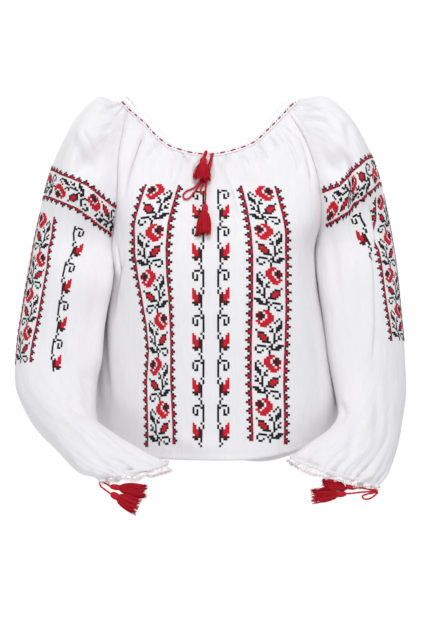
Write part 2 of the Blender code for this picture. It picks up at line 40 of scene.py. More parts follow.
# camera level with the middle of the blouse, long lens
view = {"lens": 85, "sensor": 36, "away": 2.384, "x": 0.0024, "z": -0.340}
cameraData = bpy.data.cameras.new("camera")
cameraData.lens = view["lens"]
cameraData.sensor_width = view["sensor"]
camera = bpy.data.objects.new("camera", cameraData)
camera.location = (view["x"], -view["away"], view["z"])
camera.rotation_euler = (math.radians(90), 0, 0)
scene.collection.objects.link(camera)
scene.camera = camera

colours = {
    "cotton": (0.83, 0.82, 0.845),
    "lace": (0.93, 0.92, 0.93),
    # the lace edge: its own pink tint, darkened grey as painted shade of the scallop outlines
    "laceTrimShaded": (0.82, 0.75, 0.76),
    "cuffLace": (0.94, 0.905, 0.91),
    "dash": (0.36, 0.012, 0.035),
    "red": (0.66, 0.012, 0.030),
    "crimson": (0.50, 0.010, 0.040),
    "wine": (0.15, 0.004, 0.012),
    "black": (0.011, 0.011, 0.015),
    "cord": (0.62, 0.005, 0.020),
}


def unit(v):
    return v / np.maximum(np.linalg.norm(v, axis=-1, keepdims=True), 1e-12)


def along(rows, t):
    # a smooth curve through rows, read at t in rows
    p = np.asarray(rows, float)
    flat = p.reshape(len(p), -1)
    flat = np.vstack([2 * flat[0] - flat[1], flat, 2 * flat[-1] - flat[-2]])
    t = np.atleast_1d(np.asarray(t, float))
    i = np.clip(np.floor(t).astype(int), 0, len(p) - 2)
    f = (t - i)[:, None]
    a, b, c, d = flat[i], flat[i + 1], flat[i + 2], flat[i + 3]
    got = b + 0.5 * f * ((c - a) + f * ((2 * a - 5 * b + 4 * c - d) + f * (3 * (b - c) + d - a)))
    return got.reshape((len(t),) + p.shape[1:])


def lengths(line):
    steps = np.linalg.norm(np.diff(line, axis=0), axis=1)
    return np.concatenate([[0.0], np.cumsum(steps)])


def at(line, where):
    # points of a line at distances along it
    s = lengths(line)
    return np.stack([np.interp(where, s, line[:, k]) for k in range(3)], axis=1)


def evened(row, count):
    return at(row, np.linspace(0, lengths(row)[-1], count))


def normalsOf(grid, wrap):
    if wrap:
        wide = np.concatenate([grid[:, -2:-1], grid, grid[:, 1:2]], axis=1)
        across = wide[:, 2:] - wide[:, :-2]
    else:
        across = np.gradient(grid, axis=1)
    return unit(np.cross(np.gradient(grid, axis=0), across))


def pick(grid, i, j):
    # points of a grid at fractional rows i and columns j
    i = np.clip(np.asarray(i, float), 0, grid.shape[0] - 1.001)
    j = np.clip(np.asarray(j, float), 0, grid.shape[1] - 1.001)
    i0, j0 = i.astype(int), j.astype(int)
    fi, fj = (i - i0), (j - j0)
    if grid.ndim == 3:
        fi, fj = fi[..., None], fj[..., None]
    low = grid[i0, j0] * (1 - fj) + grid[i0, j0 + 1] * fj
    high = grid[i0 + 1, j0] * (1 - fj) + grid[i0 + 1, j0 + 1] * fj
    return low * (1 - fi) + high * fi


# the form: the CAD's tables, with the front fuller at its sides, its raglan seams moved towards
# the middle at the left and outwards at the right, and the upper arms closer to the body

# x of the middle of the front, between the two vines; the columns up to clothShare of the way
# to a side keep their distance from it, clothSide at clothShare, once past gatherEnd
centreX = 0.002
clothSide = 0.128
clothShare = 0.62
gatherEnd = 0.45

# neck opening, lower edge of the band, front seam to front seam: x, y, z
neckFront = [
    (-0.130, -0.014, -0.015),
    (-0.103, -0.043, -0.041),
    (-0.083, -0.058, -0.0635),
    (-0.053, -0.070, -0.084),
    (0.002, -0.076, -0.094),
    (0.063, -0.064, -0.078),
    (0.094, -0.047, -0.052),
    (0.126, -0.016, -0.017),
]
neckBack = [
    (-0.108, 0.040, -0.038),
    (-0.090, 0.054, -0.056),
    (-0.060, 0.068, -0.073),
    (0.000, 0.076, -0.080),
    (0.060, 0.068, -0.073),
    (0.090, 0.054, -0.056),
    (0.108, 0.040, -0.038),
]

# seams, a row every 0.2 of the way: neckline 0, underarm 1, hem 2
leftFrontSeam = [
    (-0.130, -0.014, -0.015),
    (-0.136, -0.036, -0.052),
    (-0.141, -0.056, -0.095),
    (-0.142, -0.066, -0.142),
    (-0.146, -0.054, -0.190),
    (-0.159, -0.004, -0.234),
]
leftBackSeam = [
    (-0.108, 0.040, -0.038),
    (-0.128, 0.058, -0.072),
    (-0.143, 0.068, -0.112),
    (-0.153, 0.066, -0.155),
    (-0.159, 0.044, -0.200),
    (-0.159, -0.004, -0.234),
]
leftSide = [
    (-0.159, -0.004, -0.234),
    (-0.168, 0.026, -0.296),
    (-0.181, 0.045, -0.360),
    (-0.186, 0.052, -0.426),
    (-0.188, 0.054, -0.494),
    (-0.186, 0.054, -0.562),
]
rightFrontSeam = [
    (0.126, -0.016, -0.017),
    (0.145, -0.035, -0.052),
    (0.162, -0.049, -0.095),
    (0.1725, -0.056, -0.142),
    (0.175, -0.044, -0.190),
    (0.168, -0.004, -0.234),
]
rightBackSeam = [
    (0.108, 0.040, -0.038),
    (0.130, 0.058, -0.072),
    (0.147, 0.067, -0.112),
    (0.160, 0.065, -0.155),
    (0.168, 0.044, -0.200),
    (0.168, -0.004, -0.234),
]
rightSide = [
    (0.168, -0.004, -0.234),
    (0.177, 0.026, -0.296),
    (0.193, 0.034, -0.356),
    (0.204, 0.032, -0.416),
    (0.212, 0.024, -0.472),
    (0.202, 0.016, -0.528),
]

# widest line of the panels, same rows: shift along the row, y, z, left and right fullness
frontLine = [
    (0.0, -0.076, -0.094, 1.0, 1.0),
    (-0.006, -0.082, -0.122, 1.0, 1.0),
    (-0.0105, -0.093, -0.150, 1.0, 1.0),
    (-0.0122, -0.112, -0.180, 1.0, 1.0),
    (-0.010, -0.130, -0.210, 0.97, 0.95),
    (0.002, -0.142, -0.240, 0.96, 0.90),
    (0.008, -0.148, -0.301, 1.00, 0.85),
    (0.014, -0.146, -0.365, 1.06, 0.82),
    (0.018, -0.142, -0.430, 1.08, 0.80),
    (0.020, -0.138, -0.497, 1.08, 0.80),
    (0.020, -0.135, -0.559, 1.08, 0.82),
]
backLine = [
    (0.0, 0.076, -0.080, 1.0, 1.0),
    (0.0, 0.086, -0.115, 1.0, 1.0),
    (0.0, 0.096, -0.150, 1.0, 1.0),
    (0.0, 0.103, -0.185, 1.0, 1.0),
    (0.0, 0.106, -0.216, 0.97, 0.97),
    (0.0, 0.106, -0.248, 0.95, 0.95),
    (0.0, 0.105, -0.310, 0.95, 0.95),
    (0.0, 0.106, -0.375, 0.95, 0.95),
    (0.0, 0.110, -0.442, 0.96, 0.96),
    (0.0, 0.114, -0.510, 0.97, 0.97),
    (0.0, 0.116, -0.578, 0.98, 0.98),
]

# sleeve crest from the neck to the underarm level, same rows
leftCrest = [
    (-0.1385, 0.006, -0.006),
    (-0.1745, 0.004, 0.0075),
    (-0.2100, 0.003, -0.0225),
    (-0.2395, 0.002, -0.075),
    (-0.2595, 0.001, -0.132),
    (-0.2745, 0.000, -0.192),
]
rightCrest = [
    (0.1385, 0.006, -0.006),
    (0.180, 0.004, 0.0055),
    (0.2195, 0.003, -0.0215),
    (0.2495, 0.002, -0.0685),
    (0.2715, 0.001, -0.1235),
    (0.2860, 0.000, -0.182),
]
# bulge to the front and to the back of those rows, and how closed the row is
capBulge = [
    (0.000, 0.000, 1.0),
    (0.020, 0.018, 1.0),
    (0.029, 0.024, 1.08),
    (0.036, 0.031, 1.18),
    (0.045, 0.042, 1.36),
    (0.053, 0.053, 1.70),
]
# closed rows to the cuff: inner x y z, outer x y z, front bulge x y z, back bulge x y z
leftArm = [
    (-0.158, -0.034, -0.288, -0.288, 0.000, -0.254, 0.0, -0.054, 0.000, 0.0, 0.054, 0.000),
    (-0.170, -0.026, -0.353, -0.3000, 0.000, -0.334, 0.0, -0.054, 0.004, 0.0, 0.054, -0.002),
    (-0.174, -0.030, -0.410, -0.3070, -0.004, -0.398, 0.0, -0.053, 0.008, 0.0, 0.054, -0.010),
    (-0.177, -0.044, -0.456, -0.3055, -0.016, -0.458, 0.0, -0.050, 0.018, 0.0, 0.048, -0.022),
    (-0.172, -0.072, -0.508, -0.281, -0.046, -0.500, 0.0, -0.040, 0.028, 0.0, 0.036, -0.030),
    (-0.140, -0.112, -0.531, -0.243, -0.090, -0.534, 0.0, -0.032, 0.026, 0.0, 0.030, -0.026),
    (-0.098, -0.152, -0.545, -0.196, -0.138, -0.5745, 0.0, -0.027, 0.012, 0.0, 0.022, -0.014),
    (-0.060, -0.172, -0.555, -0.161, -0.166, -0.571, 0.0, -0.020, -0.004, 0.0, 0.016, -0.001),
]
rightArm = [
    (0.173, -0.028, -0.291, 0.2965, -0.004, -0.250, 0.0, -0.053, 0.000, 0.0, 0.052, 0.000),
    (0.181, -0.038, -0.353, 0.3045, -0.010, -0.330, 0.0, -0.053, 0.004, 0.0, 0.052, -0.002),
    (0.189, -0.046, -0.412, 0.3105, -0.016, -0.398, 0.0, -0.052, 0.008, 0.0, 0.052, -0.010),
    (0.196, -0.058, -0.456, 0.311, -0.026, -0.462, 0.0, -0.049, 0.018, 0.0, 0.046, -0.022),
    (0.200, -0.084, -0.492, 0.3005, -0.054, -0.512, 0.0, -0.040, 0.028, 0.0, 0.036, -0.030),
    (0.184, -0.120, -0.513, 0.288, -0.098, -0.543, 0.0, -0.032, 0.024, 0.0, 0.030, -0.026),
    (0.152, -0.154, -0.530, 0.2695, -0.140, -0.5765, 0.0, -0.027, 0.012, 0.0, 0.022, -0.014),
    (0.121, -0.174, -0.546, 0.249, -0.166, -0.583, 0.0, -0.020, -0.005, 0.0, 0.016, -0.001),
]

fineCount = 301
arcCount = 73
rowsPerPart = 5


def bodyRow(left, right, line, back, zPowers):
    # two rounded quarters from the seams to the widest line
    shift, y, z, leftFull, rightFull = line
    chord = right - left
    e1 = np.array([chord[0], chord[1], 0.0]) / math.hypot(chord[0], chord[1])
    e2 = np.array([-e1[1], e1[0], 0.0]) * (1 if back else -1)
    middle = (left + right) / 2 + shift * e1
    out = (y - middle[1]) / e2[1]
    phi = np.linspace(0, math.pi / 2, arcCount)[::-1]
    rows = []
    for end, full, turn, zPower in ((left, leftFull, 1, zPowers[0]), (right, rightFull, -1, zPowers[1])):
        half = np.dot(end - middle, e1)
        x = half * np.sin(phi) ** full
        reach = out * np.cos(phi) ** full
        height = z + (end[2] - z) * (1 - np.cos(phi) ** zPower)
        got = middle[None, :2] + x[:, None] * e1[None, :2] + reach[:, None] * e2[None, :2]
        offset = (end - middle)[:2] - half * e1[:2]
        got = got + offset[None, :] * (np.sin(phi) ** 2)[:, None]
        rows.append(np.column_stack([got, height])[::turn])
    return np.vstack([rows[0], rows[1][1:]])


def bodyGrid(neck, seams, line, back, columns, rowsAt):
    # rows x columns x 3; columns keep their cloth distance from the middle
    left = np.vstack([seams[0], seams[1][1:]])
    right = np.vstack([seams[2], seams[3][1:]])
    sections = []
    for k, values in enumerate(line):
        if k == 0:
            sections.append(along(neck, np.linspace(0, len(neck) - 1, fineCount)))
        else:
            rise = max(1.1, 2.1 - 0.18 * k)
            # the front hem climbs early at its right half
            riseRight = rise if back else max(rise, 2.4 - 0.4 * (len(line) - 1 - k))
            sections.append(bodyRow(left[k], right[k], values, back, (rise, riseRight)))
    dense = np.array([evened(r, fineCount) for r in sections])
    grid = along(dense, np.asarray(rowsAt) * rowsPerPart)
    out = []
    for v, row in zip(rowsAt, grid):
        s = lengths(row)
        mid = np.interp(centreX, row[:, 0], s)
        ease = min(1.0, max(0.0, v / gatherEnd))
        ease = ease * ease * (3 - 2 * ease)
        share = np.abs(columns)
        reach = np.where(columns < 0, mid, s[-1] - mid)
        true = clothSide * share / clothShare
        wide = clothSide + (reach - clothSide) * (share - clothShare) / (1 - clothShare)
        true = np.where(share > clothShare, wide, true)
        out.append(at(row, mid + np.copysign(reach * share * (1 - ease) + true * ease, columns)))
    return np.array(out)


def sleeveGrid(frontSeam, backSeam, crest, arm, columns, rowsAt):
    # open rows over the shoulder, then closed rows down to the cuff
    keys = []
    for k in range(6):
        f, b, c = np.array(frontSeam[k]), np.array(backSeam[k]), np.array(crest[k])
        front, behind, power = capBulge[k]
        keys.append((f, b, c, np.array([0, -front, 0]), np.array([0, behind, 0]), power))
    for k, row in enumerate(arm):
        inner = np.array(row[0:3])
        power = 2.0 if k else 1.85
        keys.append((inner, inner, np.array(row[3:6]), np.array(row[6:9]), np.array(row[9:12]), power))
    theta = np.linspace(0, math.pi / 2, arcCount)
    sections = []
    for f, b, c, front, behind, power in keys:
        mid = (f + b) / 2
        halves = []
        for end, bulge in ((f, front), (b, behind)):
            half = mid + np.outer(np.sin(theta) ** power, c - mid)
            half = half + np.outer(np.cos(theta), end - mid) + np.outer(np.sin(2 * theta), bulge)
            halves.append(half)
        sections.append(evened(np.vstack([halves[0], halves[1][::-1][1:]]), fineCount))
    grid = along(np.array(sections), np.asarray(rowsAt) * rowsPerPart)
    return np.array([at(row, np.asarray(columns) * lengths(row)[-1]) for row in grid])


def eased(grid, rowsAt, columnsAt, passes=14):
    # softens the turn at the underarm row, less towards the seams
    share = np.clip(np.minimum(columnsAt - columnsAt[0], columnsAt[-1] - columnsAt)
                    / (columnsAt[-1] - columnsAt[0]) / 0.10, 0, 1)
    weight = np.exp(-((rowsAt - 1) / 0.16) ** 2)[:, None] * share[None, :]
    for _ in range(passes):
        mean = (grid[:-2] + grid[2:]) / 2
        grid[1:-1] += (mean - grid[1:-1]) * weight[1:-1, :, None]
    return grid


def pinned(grid, edge, target, count=9):
    # moves an edge column onto the seam's own points, fading over the next columns
    delta = target - grid[:, edge]
    for k in range(count):
        j = k if edge == 0 else grid.shape[1] - 1 - k
        grid[:, j] += delta * (1 - k / count) ** 2
    return grid


openAt = np.linspace(0, 1, 63)
bodyAt = np.concatenate([openAt, 1 + np.linspace(0, 1, 131)[1:]])
armAt = np.concatenate([openAt, 1 + np.linspace(0, 1.6, 151)[1:]])
frontAt = np.linspace(-1, 1, 171)
backAt = np.linspace(-1, 1, 131)
aroundAt = np.linspace(0, 1, 151)
under = len(openAt) - 1


def seamLine(top, low, rowsAt):
    return np.vstack([along(top, openAt * 5), along(low, (rowsAt[under + 1:] - 1) * 5)])


seams = {
    "leftFront": seamLine(leftFrontSeam, leftSide, bodyAt),
    "leftBack": seamLine(leftBackSeam, leftSide, bodyAt),
    "rightFront": seamLine(rightFrontSeam, rightSide, bodyAt),
    "rightBack": seamLine(rightBackSeam, rightSide, bodyAt),
}
front = bodyGrid(neckFront, (leftFrontSeam, leftSide, rightFrontSeam, rightSide),
                 frontLine, False, frontAt, bodyAt)
back = bodyGrid(neckBack, (leftBackSeam, leftSide, rightBackSeam, rightSide),
                backLine, True, backAt, bodyAt)
front = pinned(pinned(eased(front, bodyAt, frontAt), 0, seams["leftFront"]), -1, seams["rightFront"])
back = pinned(pinned(eased(back, bodyAt, backAt), 0, seams["leftBack"]), -1, seams["rightBack"])
# the back hem hangs a little lower at its right half, from row "from" down to the hem
backSag = {"deep": 0.0095, "x": 0.095, "spread": 0.050, "from": 1.4}
sagShare = np.clip(bodyAt[:, None] - backSag["from"], 0, 1) / (2 - backSag["from"])
back[..., 2] -= backSag["deep"] * np.exp(-((back[..., 0] - backSag["x"]) / backSag["spread"]) ** 2) * sagShare


def sleeveOf(side, crest, arm, frontSeam, backSeam):
    grid = eased(sleeveGrid(frontSeam, backSeam, crest, arm, aroundAt, armAt), armAt, aroundAt)
    target = grid[:, 0].copy()
    target[: under + 1] = seams[side + "Front"][: under + 1]
    grid = pinned(grid, 0, target)
    target[: under + 1] = seams[side + "Back"][: under + 1]
    return pinned(grid, -1, target)


overReach = 0.05


def overBody(grid, table):
    # the front of the sleeve hangs over the body: row, spread, shift in x and y (mm)
    share = aroundAt / overReach
    for row, spread, x, y in table:
        over = share * np.exp(1 - share) * np.exp(-((armAt[:, None] - row) / spread) ** 2)
        grid = grid + over[..., None] * np.array([x * 0.001, y * 0.001, 0])
    return grid


sleeveLeft = overBody(sleeveOf("left", leftCrest, leftArm, leftFrontSeam, leftBackSeam),
                      [(1.02, 0.15, 9, -18), (1.18, 0.13, 6, -12), (1.35, 0.16, 8, -14), (1.6, 0.18, 9, -14)])
sleeveRight = overBody(sleeveOf("right", rightCrest, rightArm, rightFrontSeam, rightBackSeam),
                       [(1.02, 0.15, -3, -5), (1.25, 0.22, -2, -3), (1.6, 0.22, -3, -5)])
print("form ready")


def treeOf(name):
    made = bpy.data.materials.new(name)
    made.use_nodes = True
    tree = made.node_tree
    return made, tree, tree.nodes["Principled BSDF"]


def addNode(tree, kind, **values):
    node = tree.nodes.new(kind)
    for name, value in values.items():
        if name.startswith("in_"):
            node.inputs[name[3:].replace("_", " ")].default_value = value
        else:
            setattr(node, name, value)
    return node


def fill(node, values):
    for key, value in values.items():
        node.inputs[key].default_value = value


def groupOf(name, inputs, outputs):
    group = bpy.data.node_groups.new(name, "ShaderNodeTree")
    for label, kind, value in inputs:
        socket = group.interface.new_socket(label, in_out="INPUT", socket_type=kind)
        if value is not None:
            socket.default_value = value
    for label, kind in outputs:
        group.interface.new_socket(label, in_out="OUTPUT", socket_type=kind)
    return group, group.nodes.new("NodeGroupInput"), group.nodes.new("NodeGroupOutput")


def crinkleGroup():
    # crinkled gauze: long fine creases down the cloth, a softer crumple and a fine weave; its second output
    # is painted shade, darker where the softer crumple is low
    group, given, out = groupOf(
        "crinkle",
        [("Crinkle", "NodeSocketFloat", 0.5), ("Weave", "NodeSocketFloat", 0.2)],
        [("Height", "NodeSocketFloat"), ("Hollow shade", "NodeSocketFloat")])
    link = group.links.new
    uv = addNode(group, "ShaderNodeUVMap", uv_map="cloth")
    parts = []
    for scale, size, detail in (((1, 0.07, 1), 330, 3), ((1, 0.30, 1), 120, 2)):
        mapped = addNode(group, "ShaderNodeMapping", in_Scale=scale)
        noise = addNode(group, "ShaderNodeTexNoise", in_Scale=size, in_Detail=detail)
        link(uv.outputs[0], mapped.inputs["Vector"])
        link(mapped.outputs[0], noise.inputs["Vector"])
        parts.append(noise)
    both = addNode(group, "ShaderNodeMath", operation="MULTIPLY_ADD")
    both.inputs[1].default_value = 0.6
    link(parts[1].outputs["Fac"], both.inputs[0])
    link(parts[0].outputs["Fac"], both.inputs[2])
    strong = addNode(group, "ShaderNodeMath", operation="MULTIPLY")
    link(both.outputs[0], strong.inputs[0])
    link(given.outputs["Crinkle"], strong.inputs[1])
    weave = []
    for direction in ("X", "Y"):
        wave = addNode(group, "ShaderNodeTexWave", wave_type="BANDS", bands_direction=direction,
                       in_Scale=260, in_Distortion=1.2)
        link(uv.outputs[0], wave.inputs["Vector"])
        weave.append(wave)
    woven = addNode(group, "ShaderNodeMath", operation="ADD")
    link(weave[0].outputs["Fac"], woven.inputs[0])
    link(weave[1].outputs["Fac"], woven.inputs[1])
    fine = addNode(group, "ShaderNodeMath", operation="MULTIPLY_ADD")
    link(woven.outputs[0], fine.inputs[0])
    link(given.outputs["Weave"], fine.inputs[1])
    link(strong.outputs[0], fine.inputs[2])
    link(fine.outputs[0], out.inputs["Height"])
    # painted shade: the softer crumple's height, read as a tone that is darker where it is low
    link(parts[1].outputs["Fac"], out.inputs["Hollow shade"])
    return group


def threadGroup():
    # spun thread: light and dark fibres
    group, given, out = groupOf(
        "threads",
        [("Colour", "NodeSocketColor", (1, 1, 1, 1)), ("Depth", "NodeSocketFloat", 0.4),
         ("Size", "NodeSocketFloat", 900.0)],
        [("Colour", "NodeSocketColor"), ("Height", "NodeSocketFloat")])
    link = group.links.new
    place = addNode(group, "ShaderNodeTexCoord")
    noise = addNode(group, "ShaderNodeTexNoise", in_Detail=2)
    link(place.outputs["Object"], noise.inputs["Vector"])
    link(given.outputs["Size"], noise.inputs["Scale"])
    shade = addNode(group, "ShaderNodeMapRange")
    fill(shade, {"From Min": 0.3, "From Max": 0.7, "To Max": 1.15})
    low = addNode(group, "ShaderNodeMath", operation="SUBTRACT")
    low.inputs[0].default_value = 1.0
    link(given.outputs["Depth"], low.inputs[1])
    link(noise.outputs["Fac"], shade.inputs["Value"])
    link(low.outputs[0], shade.inputs["To Min"])
    tint = addNode(group, "ShaderNodeVectorMath", operation="SCALE")
    link(given.outputs["Colour"], tint.inputs[0])
    link(shade.outputs[0], tint.inputs["Scale"])
    link(tint.outputs[0], out.inputs["Colour"])
    link(noise.outputs["Fac"], out.inputs["Height"])
    return group


crinkle = crinkleGroup()
threads = threadGroup()


def clothMaterial(name, colour, crinkleDepth, weaveDepth, bump):
    made, tree, shade = treeOf(name)
    link = tree.links.new
    group = addNode(tree, "ShaderNodeGroup", node_tree=crinkle)
    fill(group, {"Crinkle": crinkleDepth, "Weave": weaveDepth})
    # the colour darkens a little in the crumple's hollows: painted shade
    crumpleShade = addNode(tree, "ShaderNodeMapRange")
    fill(crumpleShade, {"From Min": 0.25, "From Max": 0.75, "To Min": 0.965, "To Max": 1.0})
    tint = addNode(tree, "ShaderNodeVectorMath", operation="SCALE")
    tint.inputs[0].default_value = colour
    raised = addNode(tree, "ShaderNodeBump", in_Strength=1.0, in_Distance=bump)
    link(group.outputs["Hollow shade"], crumpleShade.inputs["Value"])
    link(crumpleShade.outputs[0], tint.inputs["Scale"])
    link(tint.outputs[0], shade.inputs["Base Color"])
    link(group.outputs["Height"], raised.inputs["Height"])
    link(raised.outputs[0], shade.inputs["Normal"])
    fill(shade, {"Roughness": 0.9, "Specular IOR Level": 0.2, "Sheen Weight": 0.15, "Sheen Roughness": 0.6})
    return made


def threadMaterial(name, colour=None, depth=0.35, size=900.0, rough=0.75, sheen=0.1):
    # colour None reads the piece's own tint
    made, tree, shade = treeOf(name)
    link = tree.links.new
    group = addNode(tree, "ShaderNodeGroup", node_tree=threads)
    fill(group, {"Depth": depth, "Size": size})
    if colour is None:
        tint = addNode(tree, "ShaderNodeAttribute", attribute_name="tint")
        link(tint.outputs["Color"], group.inputs["Colour"])
    else:
        group.inputs["Colour"].default_value = (*colour, 1)
    raised = addNode(tree, "ShaderNodeBump", in_Strength=0.6, in_Distance=0.0002)
    link(group.outputs["Height"], raised.inputs["Height"])
    link(raised.outputs[0], shade.inputs["Normal"])
    link(group.outputs["Colour"], shade.inputs["Base Color"])
    fill(shade, {"Roughness": rough, "Specular IOR Level": 0.25, "Sheen Weight": sheen})
    return made


cottonMaterial = clothMaterial("crinkled cotton", colours["cotton"], 1.0, 0.05, 0.0008)
bandMaterial = clothMaterial("cotton binding", colours["cotton"], 0.5, 0.05, 0.0004)
laceMaterial = threadMaterial("white lace thread with painted light", colours["lace"], 0.12, 1200.0, 0.9)
# painted light: the lace glows faintly, lifting its shaded parts
lacePaintedLight = {"Emission Color": (1, 1, 1, 1), "Emission Strength": 0.14}
fill(laceMaterial.node_tree.nodes["Principled BSDF"], lacePaintedLight)
cuffLaceMaterial = threadMaterial("gathered lace", colours["cuffLace"], 0.30, 260.0, 0.9)
# the edge threads carry painted shade of their outlines over their pink tint
laceTrimAndShadeMaterial = threadMaterial("lace edge thread with painted shade", colours["laceTrimShaded"], 0.25, 500.0, 0.9)
flossMaterial = threadMaterial("stitching floss", None, 0.30, 1400.0, 0.8)
cordMaterial = threadMaterial("red cotton cord", colours["cord"], 0.55, 1500.0, 0.7, 0.0)


def meshOf(name, points, faces, material):
    mesh = bpy.data.meshes.new(name)
    mesh.from_pydata([tuple(p) for p in points], [], [tuple(f) for f in faces])
    mesh.materials.append(material)
    mesh.polygons.foreach_set("use_smooth", [True] * len(mesh.polygons))
    made = bpy.data.objects.new(name, mesh)
    scene.collection.objects.link(made)
    return made


# thickness of the cloth, and of the bindings and lace beside it
thick = 0.0006
walls = {"neckband": 0.0014, "cuffBand": 0.0012, "lace": 0.0008}
